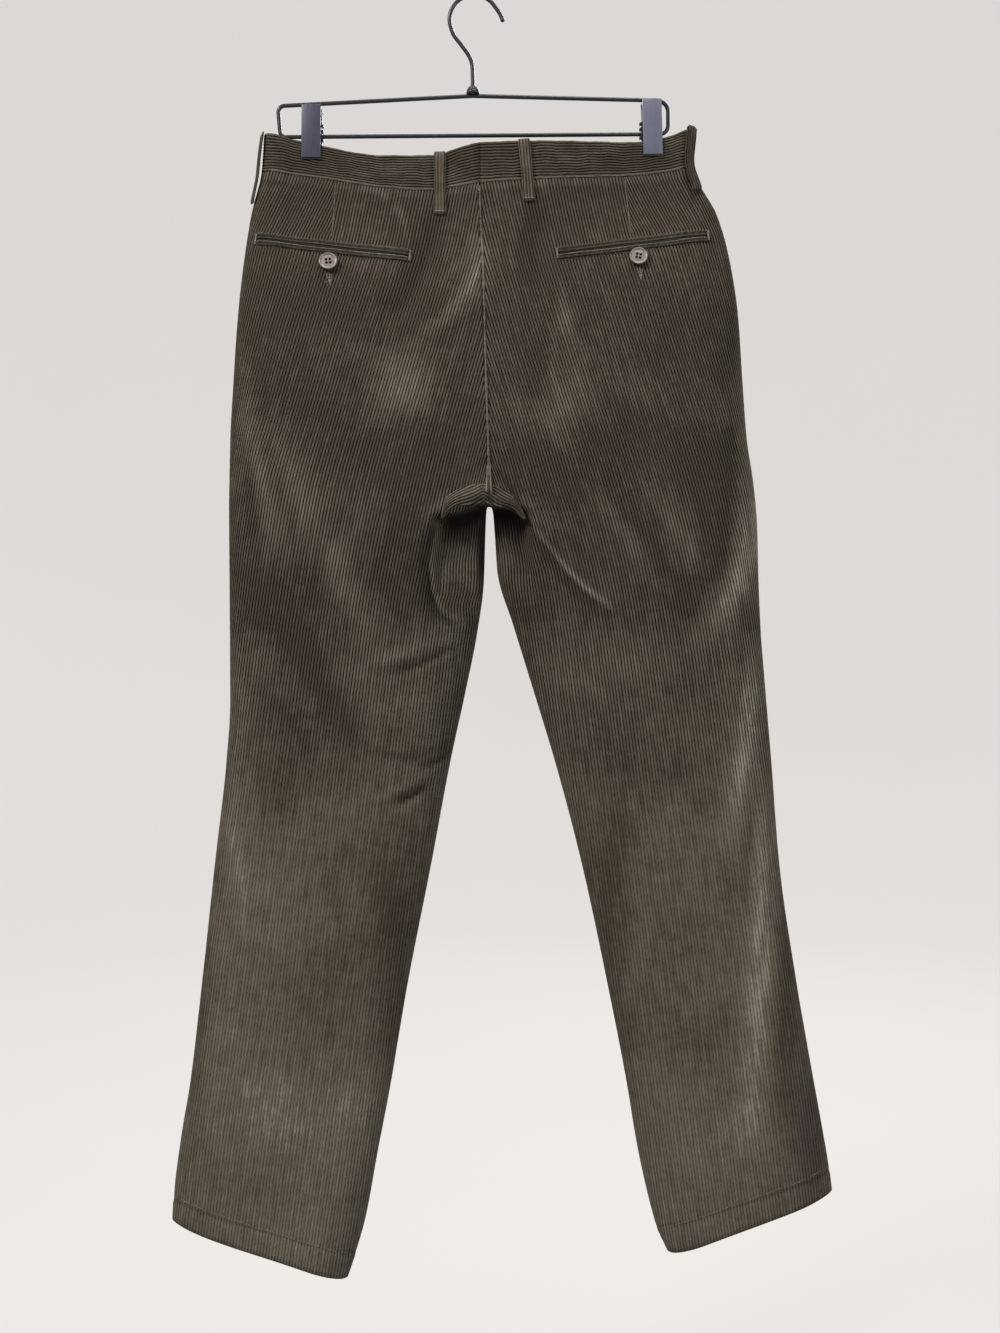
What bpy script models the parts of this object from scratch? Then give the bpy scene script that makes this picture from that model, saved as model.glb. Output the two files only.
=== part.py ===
"""Corduroy trousers hung by the waistband from a wire clip hanger.

Sizes are in millimetres here and become metres when a mesh is made. +Z is up, and
z = 0 is the inside top of the hook. The back of the trousers faces -Y, and +X is
the wearer's right. Each cloth piece is a closed wall through plan sections: the
outseam and the inner edge give a section's two ends, and its depth profile rounds
off to the mid plane at both.
"""

import math

import bpy
import numpy as np

MM = 0.001
SEAM_GAP = 0.3
LIFT = 0.3
CLOTH = 2.0
BAND_CLOTH = 3.0
HEM_CLOTH = 3.4
HEM_DEPTH = 25.0
FRONT_DROP = 12.0
CENTRE_X = 5.5

WIRE = 3.8
HOOK_RADIUS = 22.8
HOOK_INSIDE = HOOK_RADIUS - WIRE / 2
CLIP_THICK = 2.4
PINCH = 4.6
BUTTON_RADIUS = 8.2

# x of the outseam at each height z
OUTSEAM = {
    "left": (
        (-118, -194),
        (-164, -197),
        (-200, -206),
        (-245, -213),
        (-300, -219),
        (-360, -223),
        (-415, -226),
        (-480, -227),
        (-560, -226.5),
        (-655, -226),
        (-710, -229.5),
        (-803, -240),
        (-914, -252),
        (-1007, -263),
        (-1062, -272),
        (-1110, -278),
        (-1136, -279.5),
    ),
    "right": (
        (-118, 206),
        (-161, 203),
        (-180, 212),
        (-200, 224),
        (-240, 236),
        (-298, 245),
        (-358, 249),
        (-412, 253),
        (-452, 259),
        (-490, 262.5),
        (-545, 264),
        (-590, 266),
        (-640, 270),
        (-712, 276),
        (-803, 283),
        (-914, 299),
        (-1000, 314),
        (-1050, 323),
        (-1085, 329),
        (-1109, 332),
    ),
}

# x of the centre back seam down to the crotch, then of the inseam
LIP_Z = -468.0
CROTCH_Z = -478.0
INNER = {
    "left": (
        (-118, 5.5),
        (-179, 5.5),
        (-252, 8.5),
        (-362, 11.5),
        (-440, 13.8),
        (-468, 14),
        (-478, 11.5),
        (-500, 10.5),
        (-545, 9),
        (-590, 3),
        (-650, -9),
        (-710, -22),
        (-806, -40),
        (-918, -62),
        (-1018, -79),
        (-1075, -90),
        (-1135, -101),
        (-1160, -108),
        (-1190, -118),
    ),
    "right": (
        (-118, 5.5),
        (-179, 5.5),
        (-252, 8.5),
        (-362, 11.5),
        (-440, 13.8),
        (-468, 14),
        (-478, 17.5),
        (-500, 19.5),
        (-535, 22),
        (-585, 37),
        (-640, 54),
        (-716, 77),
        (-806, 100.5),
        (-918, 124.5),
        (-1008, 142),
        (-1068, 152),
        (-1118, 163),
        (-1140, 169),
        (-1166, 181),
    ),
}

# height of a section's outer end for each height of its inner end
ROW_ENDS = {
    "left": (
        (-179, -164),
        (-212, -200),
        (-252, -245),
        (-304, -300),
        (-362, -360),
        (-430, -424),
        (-468, -470),
        (-478, -488),
        (-500, -514),
        (-545, -560),
        (-590, -600),
        (-650, -655),
        (-710, -710),
        (-806, -803),
        (-918, -905),
        (-1018, -994),
        (-1100, -1062),
        (-1190, -1136),
    ),
    "right": (
        (-179, -161),
        (-212, -198),
        (-252, -242),
        (-304, -298),
        (-362, -358),
        (-430, -424),
        (-468, -470),
        (-478, -488),
        (-500, -514),
        (-545, -560),
        (-590, -600),
        (-650, -650),
        (-716, -712),
        (-806, -798),
        (-918, -900),
        (-1008, -980),
        (-1080, -1040),
        (-1166, -1109),
    ),
}

# x, z of the waist seam and z of the band's top edge, along the back
WAIST = (
    (-197, -164, -128),
    (-141, -170, -139.5),
    (-87, -180, -150.5),
    (-41, -184.5, -152),
    (5.5, -178, -141),
    (61, -174, -138.5),
    (154, -167, -136),
    (203, -161, -124),
)

# half depth across the waist at each x: flat where the two clips grip
WAIST_DEPTH = (
    (-197, 10),
    (-182, 9),
    (-164.5, PINCH),
    (-136, PINCH),
    (-100, 9),
    (-40, 15),
    (5.5, 17),
    (60, 15),
    (115, 9),
    (150, PINCH),
    (184, PINCH),
    (193, 9),
    (206, 10),
)

# half depth at each height below the waist
DEPTH = {
    "back": ((-180, 16), (-260, 23), (-360, 27), (-470, 28), (-560, 25), (-700, 22), (-1190, 19)),
    "front": ((-180, 15), (-260, 19), (-360, 21), (-470, 22), (-560, 22), (-700, 20), (-1190, 18)),
}
WAIST_BLEND = 110.0

# how far in from each edge the section rounds off, by height
OUTER_ROUND = ((-120, 13), (-180, 18), (-260, 42), (-480, 52), (-700, 46), (-1190, 40))
INNER_ROUND = ((-470, 40), (-600, 46), (-800, 44), (-1190, 38))

# the hollow under the seat beside the inseam: its width and where it has faded out
HOLLOW = {
    "left": {"width": 46.0, "from_z": -515.0, "to_z": -612.0, "drop": 14.0},
    "right": {"width": 31.0, "from_z": -500.0, "to_z": -572.0, "drop": 8.0},
}
HOLLOW_SHARE = 0.30
LIP_STEP = 9.0

# side, face, kind, height, width, reach, then the x, z points of its line. A ridge
# is soft on both sides, and a step drops to the right of its line and fades.
FOLDS = (
    ("left", "back", "ridge", 3.0, 9.0, 0, ((-107, -182), (-86, -186), (-69, -203), (-58, -234))),
    ("left", "back", "ridge", -4.5, 12.0, 0, ((-37, -214), (-41, -250), (-37, -312))),
    ("right", "back", "ridge", -4.5, 12.0, 0, ((70, -206), (66, -245), (70, -292))),
    ("right", "back", "step", 7.0, 3.5, 48.0, ((44, -474), (66, -506), (90, -540), (126, -567))),
    ("left", "back", "ridge", 3.2, 10.0, 0, ((-212, -340), (-197, -440), (-174, -500))),
    ("left", "back", "ridge", -4.0, 9.0, 0, ((-82, -634), (-46, -622), (-14, -604))),
    ("right", "back", "ridge", 3.2, 10.0, 0, ((252, -385), (247, -468), (238, -561), (230, -720))),
    ("left", "front", "ridge", -4.0, 12.0, 0, ((-15, -430), (-60, -470), (-110, -500))),
    ("right", "front", "ridge", -4.0, 12.0, 0, ((40, -432), (88, -470), (140, -496))),
    ("left", "front", "ridge", -3.5, 11.0, 0, ((-205, -650), (-150, -668), (-70, -664))),
    ("right", "front", "ridge", -3.5, 11.0, 0, ((250, -672), (190, -690), (120, -682))),
)

# heights of the inner ends of the rows of each panel
BACK_ROWS = (
    -205, -232, -262, -295, -332, -370, -408, -438, -456, -463, -468, -472, -475, -478, -484,
    -494, -508, -526, -546, -568, -592, -620, -655, -705, -765, -830, -905, -985, -1065,
)
FRONT_ROWS = (
    -215, -260, -315, -375, -425, -455, -468, -472, -475, -478, -488, -508, -540, -585, -650,
    -730, -830, -950,
)
# distances in from the outer edge, as a share of the rounding there, and from the inner
OUTER_COLUMNS = tuple(1 - math.cos(math.radians(a)) for a in (0, 22, 44, 66, 88))
INNER_COLUMNS = (56, 44, 31, 18, 8, 2, 0)
# columns between those two, as shares of the way in; the first two bound the clip's grip
MIDDLE_COLUMNS = {"left": (0.125, 0.34, 0.5, 0.66, 0.83), "right": (0.08, 0.275, 0.46, 0.64, 0.82)}

POCKETS = {
    "left": ((-200, -229.5), (-59, -246)),
    "right": ((77, -244), (215, -226.5)),
}
WELT_HEIGHT = 4.6
WELT_SLIT = 1.4
POCKET_BUTTONS = {"left": (-133, -253), "right": (151, -248.5)}

# name, face, top x, bottom x: top and bottom are reckoned from the band's edges
LOOPS = (
    ("back_left", "back", -31, -31),
    ("back_right", "back", 46, 51),
    ("front_left", "front", -92, -94),
    ("front_right", "front", 104, 106),
)
LOOP_WIDTH = 11.0
LOOP_THICK = 1.6
LOOP_BELOW = 19.0
LOOP_BOW = 1.8

FLY_WIDTH = 36.0
FLY_LENGTH = 165.0

# x of the clips' middles, their top and bottom heights
CLIP_WIDTH = 18.0
CLIPS = {"left": (-150.5, -102.0, -151.5), "right": (164.7, -97.0, -148.5)}
# corners of the hanger's flat loop: x, z and the radius it is bent to
FRAME_CORNERS = (
    (-182.5, -101.5, 6.0),
    (-1.0, -92.0, 9.0),
    (180.5, -96.5, 11.0),
    (180.5, -127.5, 8.0),
    (-180.0, -130.3, 6.0),
)


def table_at(table, at):
    """The monotone cubic through rows of (position, value), at these positions."""
    rows = np.array(sorted(row[:2] for row in table), float)
    place, value = rows.T
    step = np.diff(place)
    rise = np.diff(value) / step
    slope = np.zeros(len(place))
    slope[0], slope[-1] = rise[0], rise[-1]
    near = 2 * step[1:] + step[:-1]
    far = step[1:] + 2 * step[:-1]
    turning = rise[:-1] * rise[1:] <= 0
    first = np.where(turning, 1.0, rise[:-1])
    second = np.where(turning, 1.0, rise[1:])
    slope[1:-1] = np.where(turning, 0.0, (near + far) / (near / first + far / second))
    at = np.clip(np.asarray(at, float), place[0], place[-1])
    i = np.clip(np.searchsorted(place, at) - 1, 0, len(step) - 1)
    t = (at - place[i]) / step[i]
    ease = t * t * (3 - 2 * t)
    bend = t * (1 - t) * step[i]
    return (
        value[i] * (1 - ease)
        + value[i + 1] * ease
        + bend * ((1 - t) * slope[i] - t * slope[i + 1])
    )


def ease(t):
    t = np.clip(t, 0, 1)
    return t * t * (3 - 2 * t)


def rounding(t):
    """A quarter circle: 0 at an edge, 1 where the section is full."""
    t = np.clip(t, 0, 1)
    return np.sqrt(np.maximum(0.0, 1 - (1 - t) ** 2))


def front_drop(x):
    """How much lower the front's waist hangs than the back's, at x."""
    outer = np.where(x < CENTRE_X, CENTRE_X - WAIST[0][0], WAIST[-1][0] - CENTRE_X)
    return FRONT_DROP * (1 - ease(np.abs(x - CENTRE_X) / outer))


def waist_seam(face, x):
    z = table_at(WAIST, x)
    return z - front_drop(x) if face == "front" else z


def band_top(face, x):
    z = table_at([(row[0], row[2]) for row in WAIST], x)
    return z - front_drop(x) if face == "front" else z


def fold_depth(side, face, x, z):
    """What the folds add to the depth at each point."""
    total = np.zeros_like(x)
    for fold_side, fold_face, kind, height, width, reach, points in FOLDS:
        if (fold_side, fold_face) != (side, face):
            continue
        line = np.array(points, float)
        best = np.full(x.shape, 1e9)
        signed = np.zeros_like(x)
        along = np.zeros_like(x)
        for i, (start, end) in enumerate(zip(line[:-1], line[1:])):
            run = end - start
            t = np.clip(((x - start[0]) * run[0] + (z - start[1]) * run[1]) / (run @ run), 0, 1)
            dx = x - start[0] - t * run[0]
            dz = z - start[1] - t * run[1]
            gap = np.hypot(dx, dz)
            closer = gap < best
            best = np.where(closer, gap, best)
            across = run[0] * dz - run[1] * dx
            signed = np.where(closer, np.sign(across) * gap, signed)
            along = np.where(closer, (i + t) / (len(line) - 1), along)
        if kind == "ridge":
            taper = np.sin(math.pi * (0.08 + 0.84 * along)) ** 0.8
            total += height * taper * np.exp(-((best / width) ** 2))
        else:
            taper = 1 - ease((along - 0.35) / 0.65)
            drop = ease(0.5 - signed / (2 * width)) * np.exp(-np.maximum(0, -signed) / reach)
            total -= height * taper * drop * np.exp(-np.maximum(0, best - 30) / 20)
    return total


def depth_at(side, face, x, z):
    """Distance of the cloth's outer face from the mid plane at each x, z."""
    x, z = np.broadcast_arrays(np.asarray(x, float), np.asarray(z, float))
    from_outer = np.abs(x - table_at(OUTSEAM[side], z))
    from_inner = np.abs(x - table_at(INNER[side], z))
    below = ease((waist_seam(face, x) - z) / WAIST_BLEND)
    full = table_at(WAIST_DEPTH, x) * (1 - below) + table_at(DEPTH[face], z) * below
    full = full + fold_depth(side, face, x, z)
    outer = rounding(from_outer / table_at(OUTER_ROUND, z))
    hollow = HOLLOW[side]
    lip = LIP_Z - lip_drop(side, from_inner)
    open_below = ease((lip - z) / LIP_STEP)
    held = 1 - ease((hollow["from_z"] - z) / (hollow["from_z"] - hollow["to_z"]))
    sunk = HOLLOW_SHARE * rounding(from_inner / 9) + (1 - HOLLOW_SHARE) * ease(
        (from_inner - hollow["width"] + 7) / 14
    )
    inner = (1 - held) * rounding(from_inner / table_at(INNER_ROUND, z)) + held * sunk
    return full * outer * (1 - open_below * (1 - inner))


def lip_drop(side, from_inner):
    share = from_inner / HOLLOW[side]["width"]
    return HOLLOW[side]["drop"] * share * np.exp(1 - share)


def row_points(side, face, inner_z, inner_gap=0.0):
    """x, z of the columns of the section whose inner end is at this height."""
    inner_sign = 1 if side == "left" else -1
    outer_z = float(table_at(ROW_ENDS[side], inner_z))
    if inner_z > ROW_ENDS[side][0][0] - 1e-6:
        outer_z = float(ROW_ENDS[side][0][1])
    outer_x = float(table_at(OUTSEAM[side], outer_z))
    inner_x = float(table_at(INNER[side], inner_z)) - inner_sign * inner_gap
    outer_side = outer_x + inner_sign * np.array(OUTER_COLUMNS) * float(
        table_at(OUTER_ROUND, outer_z)
    )
    inner_side = inner_x - inner_sign * np.array(INNER_COLUMNS, float)
    share = np.array(MIDDLE_COLUMNS[side])
    middle = outer_side[-1] + (inner_side[0] - outer_side[-1]) * share
    x = np.concatenate([outer_side, middle, inner_side])
    z = outer_z + (inner_z - outer_z) * (x - outer_x) / (inner_x - outer_x)
    near_waist = 1 - ease((ROW_ENDS[side][0][0] - inner_z) / 90)
    straight = ROW_ENDS[side][0][1] + (ROW_ENDS[side][0][0] - ROW_ENDS[side][0][1]) * (
        x - outer_x
    ) / (inner_x - outer_x)
    z = z + near_waist * (waist_seam(face, x) - straight)
    near_lip = ease((-400 - inner_z) / 60) * ease((inner_z + 560) / 70)
    return x, z - near_lip * lip_drop(side, np.abs(x - inner_x))


def normals_of(grid):
    """Outward unit normals of a grid of points, rows by columns."""
    down = np.gradient(grid, axis=0)
    across = np.gradient(grid, axis=1)
    normal = np.cross(down, across)
    return normal / np.linalg.norm(normal, axis=2, keepdims=True)


def unit(v):
    return v / np.maximum(np.linalg.norm(v, axis=-1, keepdims=True), 1e-9)


def panel_grid(side, face):
    """Outer points and outward normals of a leg panel, waist to hem, outer to inner."""
    rows = BACK_ROWS if face == "back" else FRONT_ROWS
    bottom = ROW_ENDS[side][-1][0]
    heights = [ROW_ENDS[side][0][0], *rows, bottom + HEM_DEPTH, bottom]
    sign = -1 if face == "back" else 1
    grid = []
    for inner_z in heights:
        gap = SEAM_GAP / 2 if inner_z >= LIP_Z else 0.0
        x, z = row_points(side, face, inner_z, gap)
        y = sign * np.maximum(depth_at(side, face, x, z), SEAM_GAP / 2)
        grid.append(np.stack([x, y, z], axis=1))
    grid = np.array(grid)
    grid[0, :, 2] -= SEAM_GAP / 2
    normal = normals_of(grid)
    if normal[5, 9, 1] * sign < 0:
        normal = -normal
    outward = -1 if side == "left" else 1
    normal[:, 0] = (outward, 0, 0)
    for i, inner_z in enumerate(heights):
        edge = normal[i, -1]
        if inner_z >= LIP_Z - 1:
            edge[0] = 0
        elif inner_z > CROTCH_Z:
            edge[0] = 0
            edge[1] *= ease((abs(grid[i, -1, 1]) - 2) / 8)
        else:
            edge[:] = (-outward, 0, 0 if inner_z < CROTCH_Z else -0.6)
    normal[0, :, 2] = 0
    normal[-1, :, 2] = 0
    return grid, unit(normal), heights


def wall_object(name, grid, normal, thick, material, flip=None):
    """A closed wall: the grid, the same grid moved inwards, and the four edges."""
    rows, columns = grid.shape[:2]
    thick = np.broadcast_to(np.asarray(thick, float), (rows, columns))
    inner = grid - normal * thick[:, :, None]
    points = np.concatenate([grid.reshape(-1, 3), inner.reshape(-1, 3)])
    index = np.arange(rows * columns).reshape(rows, columns)
    other = index + rows * columns
    faces = []
    for i in range(rows - 1):
        for j in range(columns - 1):
            a, b, c, d = index[i, j], index[i + 1, j], index[i + 1, j + 1], index[i, j + 1]
            faces.append((a, b, c, d))
            a, b, c, d = other[i, j], other[i, j + 1], other[i + 1, j + 1], other[i + 1, j]
            faces.append((a, b, c, d))
    for j in range(columns - 1):
        faces.append((index[0, j], index[0, j + 1], other[0, j + 1], other[0, j]))
        faces.append((index[-1, j + 1], index[-1, j], other[-1, j], other[-1, j + 1]))
    for i in range(rows - 1):
        faces.append((index[i + 1, 0], index[i, 0], other[i, 0], other[i + 1, 0]))
        faces.append((index[i, -1], index[i + 1, -1], other[i + 1, -1], other[i, -1]))
    first = grid[rows // 2, columns // 2]
    side = np.cross(grid[rows // 2 - 1, columns // 2] - first, grid[rows // 2, columns // 2 - 1] - first)
    turned = side @ normal[rows // 2, columns // 2] < 0
    if flip is not None:
        turned = flip
    if turned:
        faces = [face[::-1] for face in faces]
    return mesh_object(name, points, faces, material)


def mesh_object(name, points, faces, material):
    mesh = bpy.data.meshes.new(name)
    mesh.from_pydata([tuple(p) for p in np.asarray(points) * MM], [], [tuple(map(int, f)) for f in faces])
    mesh.materials.append(material)
    mesh.validate()
    mesh.shade_smooth()
    mesh.set_sharp_from_angle(angle=math.radians(40))
    obj = bpy.data.objects.new(name, mesh)
    bpy.context.scene.collection.objects.link(obj)
    return obj


def make_material(name, colour, rough, metallic=0.0):
    material = bpy.data.materials.new(name)
    material.use_nodes = True
    shader = material.node_tree.nodes["Principled BSDF"]
    shader.inputs["Base Color"].default_value = (*colour, 1)
    shader.inputs["Roughness"].default_value = rough
    shader.inputs["Metallic"].default_value = metallic
    return material


def make_panel(side, face, material):
    grid, normal, heights = panel_grid(side, face)
    thick = np.full(grid.shape[:2], CLOTH)
    thick[-2:] = HEM_CLOTH
    return wall_object(f"{face}_{side}", grid, normal, thick, material)


def band_path(side):
    """x and face of the band's columns, from centre back round the side to the front."""
    top = ROW_ENDS[side][0][0]
    back = row_points(side, "back", top, SEAM_GAP / 2)[0]
    front = row_points(side, "front", top, SEAM_GAP / 2)[0]
    return [("back", x) for x in back[::-1]] + [("front", x) for x in front[1:]]


def make_band(side, material):
    columns = band_path(side)
    outward = -1 if side == "left" else 1
    shares = (0.0, 0.5, 1.0)
    rows = []
    for share in shares:
        row = []
        for face, x in columns:
            low = float(waist_seam(face, x)) + SEAM_GAP / 2
            high = float(band_top(face, x))
            z = low + (high - low) * share
            edge = float(table_at(OUTSEAM[side], z))
            outer_x = WAIST[0][0] if side == "left" else WAIST[-1][0]
            shifted = x + (edge - outer_x) * ease(1 - abs(x - outer_x) / 60)
            y = float(depth_at(side, face, shifted, z)) if x != outer_x else 0.0
            row.append((shifted, -y if face == "back" else y, z))
        rows.append(row)
    grid = np.array(rows)
    normal = normals_of(grid)
    middle = len(columns) // 2
    if normal[1, middle, 0] * outward < 0:
        normal = -normal
    normal[:, :, 2] = 0
    normal[:, 0] = (0, -1, 0)
    normal[:, -1] = (0, 1, 0)
    return wall_object(f"waistband_{side}", grid, unit(normal), BAND_CLOTH, material)


def surface_point(face, x, z, lift=0.0):
    """A point on the outer face at x, z, moved out along its normal, and the normal."""
    side = "left" if x < float(table_at(INNER["left"], z)) else "right"
    sign = -1 if face == "back" else 1
    step = 1.0
    xs = np.array([x, x + step, x - step, x, x])
    zs = np.array([z, z, z, z + step, z - step])
    y = sign * depth_at(side, face, xs, zs)
    slope_x = (y[1] - y[2]) / (2 * step)
    slope_z = (y[3] - y[4]) / (2 * step)
    normal = np.array([-slope_x, 1.0, -slope_z]) * sign
    normal /= np.linalg.norm(normal)
    return np.array([x, y[0], z]) + normal * lift, normal


def strip_grid(face, line, width, lift_at, columns=3):
    """A strip lying on the cloth along a line of x, z points: rows along, columns across."""
    line = np.array(line, float)
    rows, normals = [], []
    for i, point in enumerate(line):
        run = line[min(i + 1, len(line) - 1)] - line[max(i - 1, 0)]
        run /= np.linalg.norm(run)
        side = np.array([-run[1], run[0]])
        row, row_normals = [], []
        for share in np.linspace(-0.5, 0.5, columns):
            x, z = point + side * width * share
            place, normal = surface_point(face, x, z, lift_at(i / (len(line) - 1)))
            row.append(place)
            row_normals.append(normal)
        rows.append(row)
        normals.append(row_normals)
    return np.array(rows), np.array(normals)


def make_strip(name, face, line, width, thick, lift_at, material, columns=3):
    grid, normal = strip_grid(face, line, width, lambda t: lift_at(t) + thick, columns)
    return wall_object(name, grid, normal, thick, material)


def make_loop(name, face, top_x, bottom_x, material):
    top = float(band_top(face, top_x)) + 1.0
    bottom = float(waist_seam(face, bottom_x)) - LOOP_BELOW
    shares = np.linspace(0, 1, 9)
    line = [(top_x + (bottom_x - top_x) * t, top + (bottom - top) * t) for t in shares]
    make_strip(
        f"belt_loop_{name}",
        face,
        line,
        LOOP_WIDTH,
        LOOP_THICK,
        lambda t: LIFT + 0.4 + LOOP_BOW * math.sin(math.pi * t) ** 0.6,
        material,
    )


def make_side_loop(side, material):
    """A loop over the side, bowed off the band, its width wrapped round the edge."""
    outward = -1 if side == "left" else 1
    top = (WAIST[0] if side == "left" else WAIST[-1])[2] + 1.0
    seam = (WAIST[0] if side == "left" else WAIST[-1])[1]
    bottom = seam - LOOP_BELOW - 12
    rows, normals = [], []
    for t in np.linspace(0, 1, 11):
        z = top + (bottom - top) * t
        edge = float(table_at(OUTSEAM[side], z))
        spread = float(table_at(OUTER_ROUND, z))
        depth = float(depth_at(side, "back", edge - outward * spread, z))
        lift = LIFT + 0.3 + LOOP_THICK + 4.0 * math.sin(math.pi * t) ** 0.8
        row, row_normals = [], []
        for y in np.linspace(-LOOP_WIDTH / 2, LOOP_WIDTH / 2, 5):
            back = spread * (1 - math.sqrt(max(0.0, 1 - (y / max(depth, 8)) ** 2)))
            row.append((edge + outward * (lift - 0.75 * back), y, z))
            row_normals.append((outward, 0, 0))
        rows.append(row)
        normals.append(row_normals)
    wall_object(f"belt_loop_side_{side}", np.array(rows), np.array(normals, float), LOOP_THICK, material)


def make_welts(side, material):
    start, end = (np.array(p, float) for p in POCKETS[side])
    run = (end - start) / np.linalg.norm(end - start)
    up = np.array([-run[1], run[0]])
    shift = (WELT_SLIT + WELT_HEIGHT) / 2
    for name, way in (("upper", 1), ("lower", -1)):
        line = [start + (end - start) * t + up * way * shift for t in np.linspace(0, 1, 16)]
        make_strip(
            f"welt_{name}_{side}", "back", line, WELT_HEIGHT, 1.6, lambda t: LIFT + 0.65, material
        )


def turned_object(name, profile, centre, normal, material, turns=28):
    """A closed body turned about an axis through `centre`: profile rows of radius, height."""
    normal = np.array(normal, float)
    side = unit(np.cross(normal, (0, 0, 1)))
    up = np.cross(side, normal)
    points, faces = [], []
    rings = []
    for radius, height in profile:
        if radius == 0:
            rings.append([len(points)])
            points.append(centre + normal * height)
            continue
        ring = []
        for k in range(turns):
            angle = 2 * math.pi * k / turns
            ring.append(len(points))
            points.append(
                centre + normal * height + radius * (math.cos(angle) * side + math.sin(angle) * up)
            )
        rings.append(ring)
    for low, high in zip(rings[:-1], rings[1:]):
        for k in range(turns):
            n = (k + 1) % turns
            if len(low) == 1:
                faces.append((low[0], high[k], high[n]))
            elif len(high) == 1:
                faces.append((low[k], high[0], low[n]))
            else:
                faces.append((low[k], high[k], high[n], low[n]))
    return mesh_object(name, points, faces, material)


def make_button(name, face, x, z, radius, material, stand=2.5):
    """A four-hole button with a raised rim, on its thread shank."""
    centre, normal = surface_point(face, x, z)
    dish = 0.62 * radius
    profile = (
        (0, LIFT),
        (2.1, LIFT),
        (2.1, stand),
        (radius * 0.9, stand),
        (radius, stand + 0.8),
        (radius, stand + 2.0),
        (radius * 0.93, stand + 2.8),
        (radius * 0.8, stand + 2.9),
        (dish, stand + 2.2),
        (dish * 0.86, stand + 2.0),
        (0, stand + 2.0),
    )
    return turned_object(name, profile, centre, normal, material)


def make_fly(material):
    """The flap at the centre front, curving in to the seam at its foot."""
    top = float(waist_seam("front", CENTRE_X)) - 1.0
    rows, normals = [], []
    for t in np.linspace(0, 1, 12):
        z = top - FLY_LENGTH * t
        seam = float(table_at(INNER["left"], z)) - 0.3
        width = FLY_WIDTH * math.sqrt(max(0.0, 1 - max(0.0, (t - 0.72) / 0.29) ** 2))
        row, row_normals = [], []
        for share in (0, 0.33, 0.67, 1):
            x = seam - width * (1 - share)
            place, normal = surface_point("front", x, z, LIFT + 1.8)
            row.append(place)
            row_normals.append(normal)
        rows.append(row)
        normals.append(row_normals)
    wall_object("fly_flap", np.array(rows), np.array(normals), 1.5, material)


def wire_object(name, points, thick, material, closed=False, sides=3):
    curve = bpy.data.curves.new(name, "CURVE")
    curve.dimensions = "3D"
    spline = curve.splines.new("POLY")
    spline.points.add(len(points) - 1)
    for slot, (x, y, z) in zip(spline.points, points):
        slot.co = (x * MM, y * MM, z * MM, 1)
    spline.use_cyclic_u = closed
    curve.bevel_depth = thick / 2 * MM
    curve.bevel_resolution = sides
    curve.use_fill_caps = not closed
    curve.materials.append(material)
    obj = bpy.data.objects.new(name, curve)
    bpy.context.scene.collection.objects.link(obj)
    return obj


def bent_loop(corners, steps=5):
    """Points of a closed loop whose corners are bent to a radius."""
    points = []
    count = len(corners)
    for i, (x, z, radius) in enumerate(corners):
        here = np.array((x, z), float)
        before = unit(np.array(corners[i - 1][:2], float) - here)
        after = unit(np.array(corners[(i + 1) % count][:2], float) - here)
        half = math.acos(np.clip(before @ after, -1, 1)) / 2
        reach = radius / math.tan(half)
        centre = here + unit(before + after) * radius / math.sin(half)
        start = here + before * reach - centre
        end = here + after * reach - centre
        for t in np.linspace(0, 1, steps):
            way = unit(start * (1 - t) + end * t) * radius
            points.append((centre[0] + way[0], 0.0, centre[1] + way[1]))
    return points


def make_hook(material):
    """The hook: a stem, a sideways bend, and a round over the rail."""
    centre_z = -HOOK_INSIDE
    stem = [(-1.0, -89.0), (-1.2, -75.0), (-1.9, -62.5), (-5.2, -54.0), (-12.0, -44.5), (-18.5, -36.0)]
    arc = []
    for degrees in range(200, -1, -12):
        angle = math.radians(degrees)
        arc.append((HOOK_RADIUS * math.cos(angle), centre_z + HOOK_RADIUS * math.sin(angle)))
    tip = [(24.0, -15.5), (26.4, -21.0)]
    arc = [p for p in arc if p[0] < 20.5 or p[1] > -12]
    points = [(x, 0.0, z) for x, z in stem + arc + tip]
    wire_object("hanger_hook", points, WIRE, material, sides=2)


def make_hanger(wire, plate):
    wire_object("hanger_frame", bent_loop(FRAME_CORNERS), WIRE, wire, closed=True, sides=2)
    make_hook(wire)
    collar = ((2.3, 0.0), (5.6, 0.0), (6.9, 1.4), (6.9, 2.2), (6.2, 3.0), (6.7, 3.9), (5.2, 5.4), (2.3, 5.6))
    ring_object("hanger_collar", collar, np.array((-1.0, 0.0, -89.6)), (0, 0, 1), wire)
    for side, (x, top, bottom) in CLIPS.items():
        for name, way in (("back", -1), ("front", 1)):
            y = way * (PINCH + 0.3)
            clip_plate(f"clip_{side}_{name}", x, y, way, top, bottom, plate)
        low = FRAME_CORNERS[4]
        high = FRAME_CORNERS[3]
        wire_z = low[1] + (high[1] - low[1]) * (x - low[0]) / (high[0] - low[0])
        sleeve = ((2.25, -7.0), (4.55, -7.0), (4.55, 7.0), (2.25, 7.0))
        ring_object(f"clip_{side}_pivot", sleeve, np.array((x, 0.0, wire_z)), (1, 0, 0), wire)


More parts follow.
